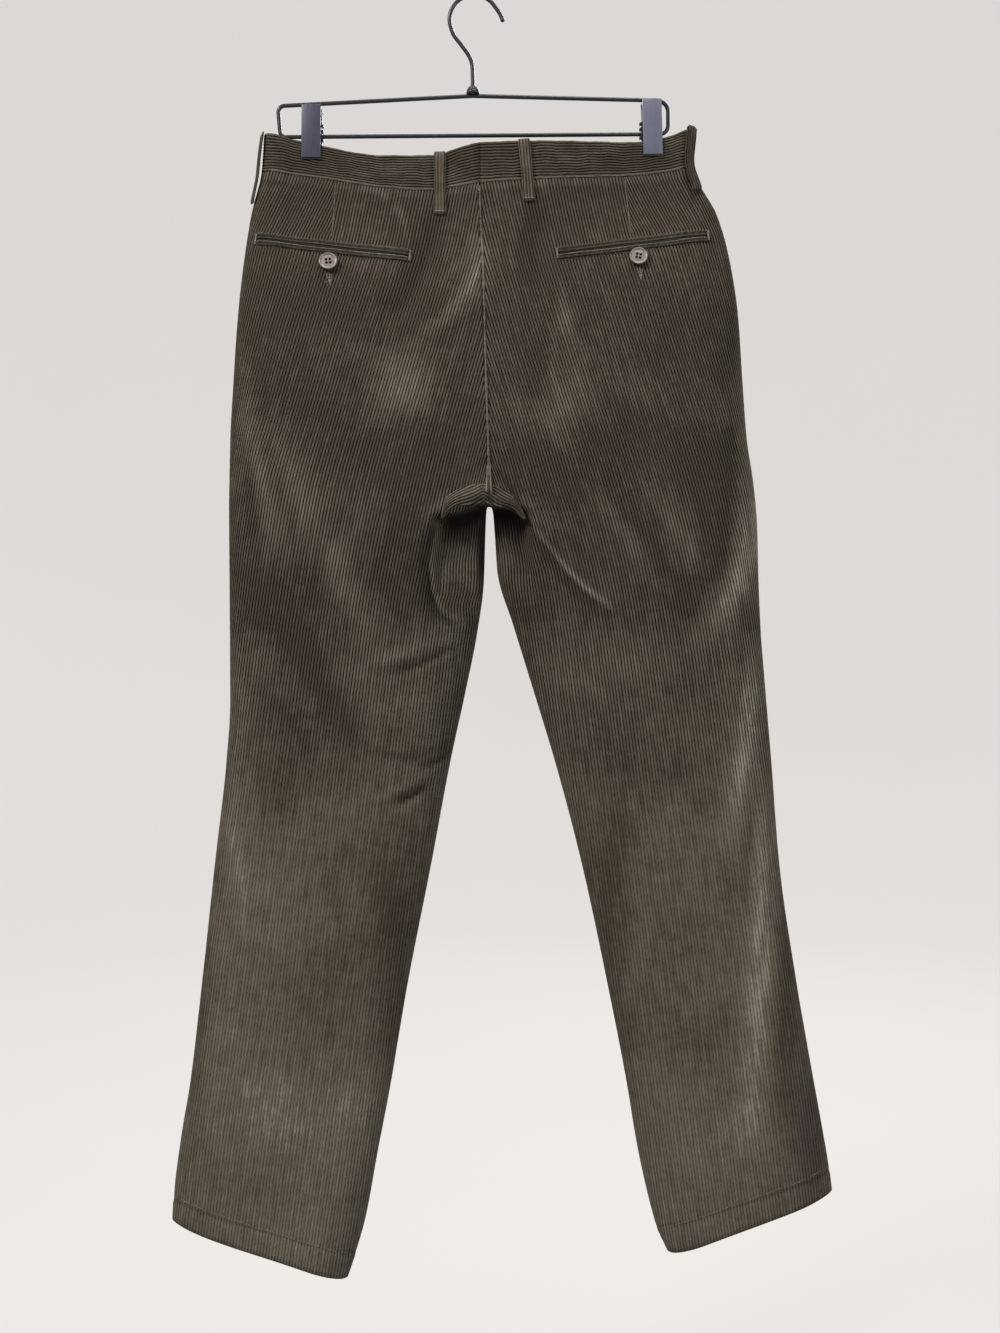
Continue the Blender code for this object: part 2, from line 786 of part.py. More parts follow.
def ring_object(name, profile, centre, axis, material, turns=24):
    """A closed ring turned about an axis: profile rows of radius, place along it."""
    axis = np.array(axis, float)
    side = unit(np.cross(axis, (0, 1, 0)))
    up = np.cross(axis, side)
    points, faces = [], []
    count = len(profile)
    for k in range(turns):
        angle = 2 * math.pi * k / turns
        way = math.cos(angle) * side + math.sin(angle) * up
        points.extend(centre + axis * place + way * radius for radius, place in profile)
    for k in range(turns):
        here, there = k * count, (k + 1) % turns * count
        for i in range(count):
            n = (i + 1) % count
            faces.append((here + i, there + i, there + n, here + n))
    return mesh_object(name, points, faces, material)


def clip_plate(name, x, y, way, top, bottom, material):
    """A flat plate with slightly rounded corners, its inner face at y."""
    half = CLIP_WIDTH / 2
    corner = 1.6
    outline = []
    for cx, cz, start in (
        (x + half - corner, top - corner, 0),
        (x - half + corner, top - corner, 90),
        (x - half + corner, bottom + corner, 180),
        (x + half - corner, bottom + corner, 270),
    ):
        for degrees in (0, 45, 90):
            angle = math.radians(start + degrees)
            outline.append((cx + corner * math.cos(angle), cz + corner * math.sin(angle)))
    count = len(outline)
    points = [(px, y, pz) for px, pz in outline]
    points += [(px, y + way * CLIP_THICK, pz) for px, pz in outline]
    faces = [tuple(range(count)), tuple(range(2 * count - 1, count - 1, -1))]
    for i in range(count):
        n = (i + 1) % count
        faces.append((n, i, count + i, count + n))
    if way < 0:
        faces = [face[::-1] for face in faces]
    mesh_object(name, points, faces, material)


def main():
    for obj in list(bpy.data.objects):
        bpy.data.objects.remove(obj)
    cloth = make_material("corduroy", (0.095, 0.083, 0.062), 0.9)
    horn = make_material("taupe_button", (0.20, 0.165, 0.135), 0.45)
    wire = make_material("black_wire", (0.012, 0.012, 0.014), 0.35, 0.4)
    plate = make_material("blue_grey_plate", (0.075, 0.08, 0.115), 0.35, 0.6)
    for side in ("left", "right"):
        for face in ("back", "front"):
            make_panel(side, face, cloth)
        make_band(side, cloth)
        make_side_loop(side, cloth)
        make_welts(side, cloth)
        x, z = POCKET_BUTTONS[side]
        make_button(f"pocket_button_{side}", "back", x, z, BUTTON_RADIUS, horn)
    for name, face, top_x, bottom_x in LOOPS:
        make_loop(name, face, top_x, bottom_x, cloth)
    make_fly(cloth)
    band_middle = float(waist_seam("front", -9) + band_top("front", -9)) / 2
    make_button("waist_button", "front", -9.0, band_middle, 8.6, horn, stand=1.2)
    make_hanger(wire, plate)


main()
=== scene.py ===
import math
import bpy
import numpy as np
from mathutils import Matrix, Vector


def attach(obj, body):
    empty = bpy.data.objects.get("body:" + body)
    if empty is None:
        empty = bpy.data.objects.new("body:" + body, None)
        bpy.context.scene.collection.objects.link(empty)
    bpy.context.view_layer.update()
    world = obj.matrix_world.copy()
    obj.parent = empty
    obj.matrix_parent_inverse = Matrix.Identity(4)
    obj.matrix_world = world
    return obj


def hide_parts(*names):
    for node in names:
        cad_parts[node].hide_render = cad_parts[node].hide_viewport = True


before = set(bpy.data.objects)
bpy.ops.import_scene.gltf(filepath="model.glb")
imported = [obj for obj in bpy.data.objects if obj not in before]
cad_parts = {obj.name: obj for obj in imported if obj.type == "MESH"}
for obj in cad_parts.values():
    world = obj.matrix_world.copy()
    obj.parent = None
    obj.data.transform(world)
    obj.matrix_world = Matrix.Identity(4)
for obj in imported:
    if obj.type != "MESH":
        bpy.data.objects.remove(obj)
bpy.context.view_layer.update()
bpy.ops.object.select_all(action="DESELECT")
mm = 0.001  # shapes are worked out in millimetres, z = 0 at the inside top of the hook
print("frame loaded")


# shader helper
class Wire:
    # one output socket, so that shader maths reads as plain arithmetic
    def __init__(self, graph, socket):
        self.graph = graph
        self.socket = socket

    def __add__(self, other):
        return self.graph.maths("ADD", self, other)

    def __radd__(self, other):
        return self.graph.maths("ADD", other, self)

    def __sub__(self, other):
        return self.graph.maths("SUBTRACT", self, other)

    def __rsub__(self, other):
        return self.graph.maths("SUBTRACT", other, self)

    def __mul__(self, other):
        return self.graph.maths("MULTIPLY", self, other)

    def __rmul__(self, other):
        return self.graph.maths("MULTIPLY", other, self)


class Graph:
    # a new material, with its Principled shader's plain numbers given by name
    def __init__(self, name, **plain):
        self.material = bpy.data.materials.new(name)
        self.material.use_nodes = True
        self.tree = self.material.node_tree
        self.shader = self.tree.nodes["Principled BSDF"]
        for key, value in plain.items():
            self.shader.inputs[key.replace("_", " ")].default_value = value

    def node(self, kind, settings=None, inputs=None, out=0):
        made = self.tree.nodes.new(kind)
        for key, value in (settings or {}).items():
            if key == "stops":
                ramp = made.color_ramp
                for i, (place, level) in enumerate(value):
                    stop = ramp.elements[i] if i < 2 else ramp.elements.new(place)
                    stop.position = place
                    stop.color = (level, level, level, 1)
            else:
                setattr(made, key, value)
        for key, value in (inputs or {}).items():
            self.feed(made.inputs[key], value)
        return Wire(self, made.outputs[out])

    def feed(self, socket, value):
        if isinstance(value, Wire):
            self.tree.links.new(value.socket, socket)
        elif isinstance(value, tuple) and len(value) == 3 and socket.type == "RGBA":
            socket.default_value = (*value, 1)
        else:
            socket.default_value = value

    def maths(self, operation, first, second):
        return self.node("ShaderNodeMath", {"operation": operation}, {0: first, 1: second})

    def blend(self, factor, first, second):
        settings = {"data_type": "RGBA", "clamp_factor": True}
        return self.node("ShaderNodeMix", settings, {0: factor, 6: first, 7: second}, out=2)

    def noise(self, where, scale, detail=2.0, stretch=None):
        if stretch:
            where = self.node("ShaderNodeMapping", {}, {"Vector": where, "Scale": stretch})
        return self.node("ShaderNodeTexNoise", {}, {"Vector": where, "Scale": scale, "Detail": detail})

    def ramp(self, value, low, high):
        return self.node("ShaderNodeValToRGB", {"stops": ((low, 0.0), (high, 1.0))}, {0: value})

    def attribute(self, name):
        return self.node("ShaderNodeAttribute", {"attribute_name": name}, out=2)

    def place(self):
        return self.node("ShaderNodeTexCoord", out=3)

    def finish(self, colour=None, rough=None, height=None, depth=0.0003, strength=1.0):
        if colour:
            self.feed(self.shader.inputs["Base Color"], colour)
        if rough:
            self.feed(self.shader.inputs["Roughness"], rough)
        if height:
            bump = self.node(
                "ShaderNodeBump", {}, {"Height": height, "Distance": depth, "Strength": strength}
            )
            self.feed(self.shader.inputs["Normal"], bump)
        return self.material


# materials
pile = {
    "trough": (0.0028, 0.0022, 0.0015),
    "dark": (0.051, 0.0405, 0.0285),
    "light": (0.170, 0.146, 0.111),
    "paleWornAndLit": (0.30, 0.27, 0.215),
    "plum": (0.050, 0.036, 0.036),
    "gloom": (0.0035, 0.0030, 0.0024),
}


def corduroyMaterial(name):
    # wale: 0 in a trough, 1 on a crown. tone: pile and wear, with painted light and shade. plum: painted
    # shade
    g = Graph(name, Roughness=0.9, Sheen_Weight=0.04, Sheen_Roughness=0.4)
    g.shader.inputs["Sheen Tint"].default_value = (0.80, 0.76, 0.66, 1)
    g.shader.inputs["Specular IOR Level"].default_value = 0.08
    place = g.place()
    cut = g.node("ShaderNodeUVMap", {"uv_map": "cut"})
    wale = g.attribute("wale")
    tone = g.attribute("tone")
    plum = g.attribute("plum")
    gloom = g.attribute("gloom")
    mottle = g.noise(place, 16.0, 3.0)
    crush = g.noise(place, 1.0, 3.0, stretch=(70.0, 70.0, 130.0))
    streak = g.noise(cut, 1.0, 2.0, stretch=(350.0, 30.0, 1.0))
    tuft = g.noise(cut, 1.0, 2.0, stretch=(700.0, 260.0, 1.0))
    fuzz = g.noise(place, 2600.0, 2.0)
    level = tone + (mottle - 0.5) * 0.5 + (crush - 0.5) * 0.45
    level = level + (streak - 0.5) * (0.6 + tone * 0.5) + (tuft - 0.5) * 0.2
    crown = g.blend(level, pile["dark"], pile["light"])
    # the palest crown colour, for rubbed cloth and for painted highlights
    crown = g.blend((level - 0.72) * 1.5, crown, pile["paleWornAndLit"])
    crown = g.blend(plum, crown, pile["plum"])
    # painted shade: the near-black trough colour stands in for the shade between the wales
    trough = g.blend(level * 0.30, pile["trough"], pile["dark"])
    # the nap stands ragged along each wale's edge
    ragged = wale + (tuft - 0.5) * 0.35 + (fuzz - 0.5) * 0.2
    colour = g.blend(g.ramp(ragged, 0.50, 0.97), trough, crown)
    colour = g.blend(gloom, colour, pile["gloom"])
    rough = 0.86 + fuzz * 0.12
    height = fuzz * 0.6 + tuft * 0.6
    return g.finish(colour, rough, height, 0.00035, 0.7)


def plainClothMaterial(name, first, second, scale=420.0):
    # the flat twill back of the cloth, and rolled edges whose pile has gone
    g = Graph(name, Roughness=0.88, Sheen_Weight=0.03, Sheen_Roughness=0.5)
    g.shader.inputs["Specular IOR Level"].default_value = 0.15
    place = g.place()
    thread = g.noise(place, scale, 2.0, stretch=(1.0, 1.0, 1.6))
    broad = g.noise(place, 45.0, 2.0)
    colour = g.blend(thread * 0.7 + broad * 0.5 - 0.1, first, second)
    return g.finish(colour, 0.82 + thread * 0.14, thread, 0.0003, 0.8)


def threadMaterial(name, first, second):
    g = Graph(name, Roughness=0.7, Sheen_Weight=0.25)
    place = g.place()
    twist = g.noise(place, 1500.0, 1.0)
    broad = g.noise(place, 160.0, 1.0)
    colour = g.blend(twist * 0.5 + broad * 0.6, first, second)
    return g.finish(colour, 0.62 + twist * 0.2, twist, 0.0002)


def buttonMaterial(name):
    g = Graph(name, Roughness=0.38, Coat_Weight=0.15)
    place = g.place()
    cloud = g.noise(place, 260.0, 3.0)
    grain = g.noise(place, 90.0, 2.0, stretch=(1.0, 1.0, 6.0))
    colour = g.blend(cloud * 0.6 + grain * 0.5 - 0.05, (0.055, 0.043, 0.036), (0.200, 0.166, 0.145))
    return g.finish(colour, 0.30 + cloud * 0.22, cloud, 0.00008)


def wireMaterial(name):
    g = Graph(name, Coat_Weight=0.06)
    g.shader.inputs["Specular IOR Level"].default_value = 0.35
    place = g.place()
    speck = g.noise(place, 700.0, 3.0)
    rub = g.ramp(g.noise(place, 120.0, 3.0), 0.62, 0.74)
    colour = g.blend(rub * 0.35, (0.0050, 0.0052, 0.0066), (0.030, 0.031, 0.036))
    return g.finish(colour, 0.32 + speck * 0.16, speck, 0.00006)


def plateMaterial(name, dark, light):
    g = Graph(name, Metallic=0.2)
    place = g.place()
    brushed = g.noise(place, 1.0, 2.0, stretch=(900.0, 900.0, 30.0))
    cloud = g.noise(place, 60.0, 2.0)
    colour = g.blend(cloud * 0.7 + brushed * 0.3, dark, light)
    return g.finish(colour, 0.33 + brushed * 0.16, brushed, 0.00004)


corduroy = corduroyMaterial("wide_wale_corduroy")
twillBack = plainClothMaterial("cloth_reverse", (0.030, 0.026, 0.019), (0.075, 0.066, 0.050))
rolledEdge = plainClothMaterial("rubbed_edge", (0.026, 0.021, 0.015), (0.115, 0.10, 0.078), 500.0)
frayedEdge = plainClothMaterial("frayed_edge", (0.034, 0.028, 0.020), (0.175, 0.153, 0.122), 240.0)
# painted shade: near-black cloth for the pocket slits and behind the button holes, also on the buttons'
# thread shanks
shadeCloth = plainClothMaterial("painted_shade_cloth", (0.006, 0.005, 0.004), (0.016, 0.014, 0.011))
oliveThread = threadMaterial("olive_thread", (0.070, 0.060, 0.045), (0.16, 0.14, 0.108))
paleThread = threadMaterial("pale_thread", (0.075, 0.063, 0.049), (0.20, 0.175, 0.142))
horn = buttonMaterial("taupe_horn")
blackWire = wireMaterial("black_coated_wire")
# lit and shaded copies of one plate: the left clip's plates are painted darker, the right clip's lighter
clipMetal = {
    "left": plateMaterial("shaded_blue_grey_plate", (0.018, 0.0185, 0.033), (0.040, 0.041, 0.070)),
    "right": plateMaterial("blue_grey_plate", (0.060, 0.062, 0.092), (0.118, 0.122, 0.170)),
}
print("materials made")


# the hang of the cloth
sides = ("left", "right")
outwardOf = {"left": -1, "right": 1}
# x of the outseam at each height z, in millimetres
outseam = {
    "left": (
        (-118, -194), (-164, -197), (-200, -206), (-245, -213), (-300, -219), (-360, -223),
        (-415, -226), (-480, -227), (-560, -226.5), (-655, -226), (-710, -229.5), (-803, -240),
        (-914, -252), (-1007, -263), (-1062, -272), (-1110, -278), (-1136, -279.5),
    ),
    "right": (
        (-118, 206), (-161, 203), (-180, 212), (-200, 224), (-240, 236), (-298, 245),
        (-358, 249), (-412, 253), (-452, 259), (-490, 262.5), (-545, 264), (-590, 266),
        (-640, 270), (-712, 276), (-803, 283), (-914, 299), (-1000, 314), (-1050, 323),
        (-1085, 329), (-1109, 332),
    ),
}
# x of the centre seam down to the crotch, then of the inseam
innerEdge = {
    "left": (
        (-118, 5.5), (-179, 5.5), (-252, 8.5), (-362, 11.5), (-440, 13.8), (-468, 14),
        (-478, 11.5), (-500, 10.5), (-545, 9), (-590, 3), (-650, -9), (-710, -22), (-806, -40),
        (-918, -62), (-1018, -79), (-1075, -90), (-1135, -101), (-1160, -108), (-1190, -118),
    ),
    "right": (
        (-118, 5.5), (-179, 5.5), (-252, 8.5), (-362, 11.5), (-440, 13.8), (-468, 14),
        (-478, 17.5), (-500, 19.5), (-535, 22), (-585, 37), (-640, 54), (-716, 77),
        (-806, 100.5), (-918, 124.5), (-1008, 142), (-1068, 152), (-1118, 163), (-1140, 169),
        (-1166, 181),
    ),
}
# height of a section's outer end for each height of its inner end
rowEnds = {
    "left": (
        (-179, -164), (-212, -200), (-252, -245), (-304, -300), (-362, -360), (-430, -424),
        (-468, -470), (-478, -488), (-500, -514), (-545, -560), (-590, -600), (-650, -655),
        (-710, -710), (-806, -803), (-918, -905), (-1018, -994), (-1100, -1062), (-1190, -1136),
    ),
    "right": (
        (-179, -161), (-212, -198), (-252, -242), (-304, -298), (-362, -358), (-430, -424),
        (-468, -470), (-478, -488), (-500, -514), (-545, -560), (-590, -600), (-650, -650),
        (-716, -712), (-806, -798), (-918, -900), (-1008, -980), (-1080, -1040), (-1166, -1109),
    ),
}
# x, z of the waist seam and z of the band's top edge, along the back
waist = (
    (-197, -164, -128), (-141, -170, -139.5), (-87, -180, -150.5), (-41, -184.5, -152),
    (5.5, -178, -141), (61, -174, -138.5), (154, -167, -136), (203, -161, -124),
)
waistDepth = (
    (-197, 10), (-182, 9), (-164.5, 4.6), (-136, 4.6), (-100, 9), (-40, 15), (5.5, 17),
    (60, 15), (115, 9), (150, 4.6), (184, 4.6), (193, 9), (206, 10),
)
fullDepth = {
    "back": ((-180, 16), (-260, 23), (-360, 27), (-470, 28), (-560, 25), (-700, 22), (-1190, 19)),
    "front": ((-180, 15), (-260, 19), (-360, 21), (-470, 22), (-560, 22), (-700, 20), (-1190, 18)),
}
outerRound = ((-120, 13), (-180, 18), (-260, 42), (-480, 52), (-700, 46), (-1190, 40))
innerRound = ((-470, 40), (-600, 46), (-800, 44), (-1190, 38))
hollows = {
    "left": {"width": 46.0, "fromZ": -515.0, "toZ": -612.0, "drop": 14.0},
    "right": {"width": 31.0, "fromZ": -500.0, "toZ": -572.0, "drop": 8.0},
}
hang = {
    "centreX": 5.5, "frontDrop": 12.0, "lipZ": -468.0, "crotchZ": -478.0, "waistBlend": 110.0,
    "lipStep": 9.0, "hollowShare": 0.30, "seamGap": 0.3, "hemDepth": 25.0,
}
# side, face, kind, height, width, reach, then the x, z points of its line. A ridge is soft
# on both sides (a trough where its height is below 0); a step drops to the right of its line.
folds = (
    ("left", "back", "ridge", 2.6, 5.5, 0, ((-107, -180), (-86, -184), (-69, -203), (-58, -236))),
    ("left", "back", "ridge", -1.8, 8.0, 0, ((-98, -192), (-80, -204), (-70, -228))),
    ("left", "back", "ridge", -4.5, 12.0, 0, ((-38, -206), (-43, -246), (-58, -284), (-88, -308))),
    ("left", "back", "ridge", 2.4, 6.0, 0, ((-62, -180), (-50, -186), (-41, -198))),
    ("left", "back", "ridge", 2.2, 8.5, 0, ((4, -236), (-2, -270), (-22, -302), (-56, -322))),
    ("right", "back", "ridge", -4.5, 12.0, 0, ((60, -200), (54, -245), (58, -300))),
    ("right", "back", "ridge", 1.8, 6.0, 0, ((84, -262), (80, -290), (92, -330))),
    ("right", "back", "step", 5.0, 3.5, 48.0, ((44, -474), (66, -506), (90, -540), (126, -567))),
    ("left", "back", "ridge", 5.0, 9.0, 0, ((-25, -496), (-27, -515), (-28, -540), (-25, -560), (-13, -576))),
    (
        "left", "back", "ridge", -4.0, 5.0, 0,
        ((-36, -494), (-41, -510), (-44, -532), (-42, -556), (-33, -575), (-16, -587)),
    ),
    (
        "right", "back", "ridge", 1.5, 2.4, 0,
        ((45, -484), (58, -500), (76, -522), (96, -546), (112, -560), (128, -571)),
    ),
    ("right", "back", "ridge", -1.6, 4.0, 0, ((50, -500), (68, -526), (90, -556), (110, -572))),
    ("left", "back", "ridge", 3.2, 10.0, 0, ((-212, -340), (-197, -440), (-174, -500))),
    ("left", "back", "ridge", -2.4, 3.6, 0, ((-74, -630), (-46, -620), (-14, -603))),
    ("left", "back", "ridge", 2.2, 6.0, 0, ((-92, -622), (-60, -612), (-30, -596))),
    ("left", "back", "ridge", -2.6, 4.0, 0, ((-48, -716), (-34, -710), (-19, -699))),
    ("left", "back", "ridge", -3.4, 4.5, 0, ((-72, -750), (-56, -741), (-44, -734))),
    ("left", "back", "ridge", 1.8, 5.0, 0, ((-84, -744), (-64, -734), (-50, -726))),
    ("left", "back", "ridge", 2.0, 8.0, 0, ((-221, -622), (-212, -665), (-202, -704))),
    ("left", "back", "ridge", 2.6, 6.0, 0, ((-230, -760), (-217, -797), (-205, -880))),
    ("right", "back", "ridge", 3.2, 8.0, 0, ((255, -380), (250, -468), (240, -561), (230, -740))),
    ("right", "back", "ridge", -2.2, 6.0, 0, ((238, -400), (236, -470), (226, -560))),
    ("right", "back", "ridge", 2.6, 6.0, 0, ((270, -712), (266, -775), (264, -860), (250, -925))),
    ("right", "back", "ridge", -2.0, 6.0, 0, ((258, -740), (252, -800), (248, -860))),
    ("right", "back", "ridge", -1.2, 9.0, 0, ((86, -600), (120, -640), (170, -660))),
    ("left", "back", "ridge", -2.0, 14.0, 0, ((-110, -470), (-140, -520), (-150, -590))),
    ("right", "back", "ridge", 2.0, 14.0, 0, ((150, -420), (190, -480), (214, -560))),
    ("left", "front", "ridge", -4.0, 12.0, 0, ((-15, -430), (-60, -470), (-110, -500))),
    ("left", "front", "ridge", 2.4, 8.0, 0, ((-20, -410), (-66, -448), (-124, -476))),
    ("right", "front", "ridge", -4.0, 12.0, 0, ((40, -432), (88, -470), (140, -496))),
    ("right", "front", "ridge", 2.4, 8.0, 0, ((36, -408), (92, -444), (152, -470))),
    ("left", "front", "ridge", -3.5, 11.0, 0, ((-205, -650), (-150, -668), (-70, -664))),
    ("left", "front", "ridge", 2.2, 8.0, 0, ((-190, -632), (-130, -640), (-60, -636))),
    ("left", "front", "ridge", -2.4, 6.0, 0, ((-210, -742), (-160, -728), (-90, -736))),
    ("right", "front", "ridge", -3.5, 11.0, 0, ((250, -672), (190, -690), (120, -682))),
    ("right", "front", "ridge", 2.2, 8.0, 0, ((240, -650), (180, -660), (110, -652))),
    ("right", "front", "ridge", -2.4, 6.0, 0, ((262, -760), (210, -746), (150, -756))),
    ("left", "front", "ridge", 2.6, 9.0, 0, ((-214, -330), (-198, -430), (-186, -520))),
    ("right", "front", "ridge", 2.6, 9.0, 0, ((240, -330), (240, -440), (232, -540))),
)
# waves of the whole surface: height, wave numbers along x and z, phase
swell = (
    (0.495, 0.030, 0.016, 0.4), (0.385, -0.052, 0.021, 2.1), (0.275, 0.075, -0.034, 4.0),
    (0.22, 0.02, 0.06, 1.2),
)


def tableAt(table, at):
    # monotone cubic through rows of (position, value)
    rows = np.array(sorted(row[:2] for row in table), float)
    place, value = rows.T
    step = np.diff(place)
    rise = np.diff(value) / step
    slope = np.zeros(len(place))
    slope[0], slope[-1] = rise[0], rise[-1]
    near = 2 * step[1:] + step[:-1]
    far = step[1:] + 2 * step[:-1]
    turning = rise[:-1] * rise[1:] <= 0
    first = np.where(turning, 1.0, rise[:-1])
    second = np.where(turning, 1.0, rise[1:])
    slope[1:-1] = np.where(turning, 0.0, (near + far) / (near / first + far / second))
    at = np.clip(np.asarray(at, float), place[0], place[-1])
    i = np.clip(np.searchsorted(place, at) - 1, 0, len(step) - 1)
    t = (at - place[i]) / step[i]
    smooth = t * t * (3 - 2 * t)
    bend = t * (1 - t) * step[i] * ((1 - t) * slope[i] - t * slope[i + 1])
    return value[i] * (1 - smooth) + value[i + 1] * smooth + bend


def ease(t):
    t = np.clip(t, 0, 1)
    return t * t * (3 - 2 * t)


def rounding(t):
    # a quarter circle: 0 at an edge, 1 where the section is full
    return np.sqrt(np.maximum(0.0, 1 - (1 - np.clip(t, 0, 1)) ** 2))


def waistEnd(side):
    return waist[0] if side == "left" else waist[-1]


def frontDrop(x):
    centre = hang["centreX"]
    reach = np.where(x < centre, centre - waistEnd("left")[0], waistEnd("right")[0] - centre)
    return hang["frontDrop"] * (1 - ease(np.abs(x - centre) / reach))


def waistSeam(face, x):
    z = tableAt(waist, x)
    return z - frontDrop(x) if face == "front" else z


def bandTop(face, x):
    z = tableAt([(row[0], row[2]) for row in waist], x)
    return z - frontDrop(x) if face == "front" else z


def lineField(x, z, points):
    # nearest distance to a line, which side of it, and how far along
    line = np.array(points, float)
    best = np.full(x.shape, 1e9)
    signed = np.zeros_like(x)
    along = np.zeros_like(x)
    for i, (start, end) in enumerate(zip(line[:-1], line[1:])):
        run = end - start
        t = np.clip(((x - start[0]) * run[0] + (z - start[1]) * run[1]) / (run @ run), 0, 1)
        dx = x - start[0] - t * run[0]
        dz = z - start[1] - t * run[1]
        gap = np.hypot(dx, dz)
        closer = gap < best
        best = np.where(closer, gap, best)
        signed = np.where(closer, np.sign(run[0] * dz - run[1] * dx) * gap, signed)
        along = np.where(closer, (i + t) / (len(line) - 1), along)
    return best, signed, along


def foldsOf(side, face):
    return [fold[2:] for fold in folds if fold[:2] == (side, face)]


def bell(distance, width):
    return np.exp(-((distance / width) ** 2))


def tapered(along):
    # nearly 0 at a line's ends and 1 at its middle
    return np.sin(math.pi * (0.08 + 0.84 * along))


def foldDepth(side, face, x, z):
    total = np.zeros_like(x)
    for kind, height, width, reach, points in foldsOf(side, face):
        best, signed, along = lineField(x, z, points)
        if kind == "ridge":
            total += height * tapered(along) ** 0.8 * bell(best, width)
        else:
            taper = 1 - ease((along - 0.35) / 0.65)
            drop = ease(0.5 - signed / (2 * width)) * np.exp(-np.maximum(0, -signed) / reach)
            total -= height * taper * drop * np.exp(-np.maximum(0, best - 30) / 20)
    flip = 1.0 if face == "back" else -1.0
    for height, kx, kz, phase in swell:
        total += height * np.sin(kx * x * flip + kz * z + phase)
    return total


def lipDrop(side, fromInner):
    share = fromInner / hollows[side]["width"]
    return hollows[side]["drop"] * share * np.exp(1 - share)


def depthAt(side, face, x, z):
    # distance of the cloth's outer face from the mid plane
    x, z = np.broadcast_arrays(np.asarray(x, float), np.asarray(z, float))
    fromOuter = np.abs(x - tableAt(outseam[side], z))
    fromInner = np.abs(x - tableAt(innerEdge[side], z))
    below = ease((waistSeam(face, x) - z) / hang["waistBlend"])
    full = tableAt(waistDepth, x) * (1 - below) + tableAt(fullDepth[face], z) * below
    full = full + foldDepth(side, face, x, z) * ease(below * 2.5 + 0.02)
    outer = rounding(fromOuter / tableAt(outerRound, z))
    hollow = hollows[side]
    lip = hang["lipZ"] - lipDrop(side, fromInner)
    openBelow = ease((lip - z) / hang["lipStep"])
    held = 1 - ease((hollow["fromZ"] - z) / (hollow["fromZ"] - hollow["toZ"]))
    share = hang["hollowShare"]
    rise = ease((fromInner - hollow["width"] + 7) / 14)
    sunk = share * rounding(fromInner / 9) + (1 - share) * rise
    inner = (1 - held) * rounding(fromInner / tableAt(innerRound, z)) + held * sunk
    return full * outer * (1 - openBelow * (1 - inner))


def rowLine(side, face, innerZ, count):
    # x and z along the section whose inner end is at this height, from outer to inner
    inward = -outwardOf[side]
    firstInner, firstOuter = rowEnds[side][0]
    outerZ = float(tableAt(rowEnds[side], innerZ))
    outerX = float(tableAt(outseam[side], outerZ))
    gap = hang["seamGap"] / 2 if innerZ >= hang["lipZ"] else 0.0
    innerX = float(tableAt(innerEdge[side], innerZ)) - inward * gap
    turn = np.radians(np.linspace(0, 86, 26))
    reach = float(tableAt(outerRound, outerZ))
    head = outerX + inward * (1 - np.cos(turn)) * reach
    tail = (innerX - inward * (1 - np.cos(turn)) * 20)[::-1]
    middle = np.linspace(head[-1], tail[0], count)[1:-1]
    x = np.concatenate([head, middle, tail])
    z = outerZ + (innerZ - outerZ) * (x - outerX) / (innerX - outerX)
    nearWaist = 1 - ease((firstInner - innerZ) / 90)
    straight = firstOuter + (firstInner - firstOuter) * (x - outerX) / (innerX - outerX)
    z = z + nearWaist * (waistSeam(face, x) - straight)
    nearLip = ease((-400 - innerZ) / 60) * ease((innerZ + 560) / 70)
    return x, z - nearLip * lipDrop(side, np.abs(x - innerX))


def unit(v):
    return v / np.maximum(np.linalg.norm(v, axis=-1, keepdims=True), 1e-9)


def onCloth(face, x, z, lift=0.0):
    # points on the cloth's outer face, moved out along its normals, and those normals
    x, z = np.broadcast_arrays(np.asarray(x, float), np.asarray(z, float))
    sign = -1 if face == "back" else 1
    isLeft = x < tableAt(innerEdge["left"], z)

    def height(px, pz):
        left, right = (depthAt(side, face, px, pz) for side in sides)
        return sign * np.where(isLeft, left, right)

    y = height(x, z)
    slopeX = (height(x + 0.8, z) - height(x - 0.8, z)) / 1.6
    slopeZ = (height(x, z + 0.8) - height(x, z - 0.8)) / 1.6
    normal = unit(np.stack([-slopeX * sign, np.full_like(y, sign), -slopeZ * sign], axis=-1))
    return np.stack([x, y, z], axis=-1) + normal * np.asarray(lift)[..., None], normal
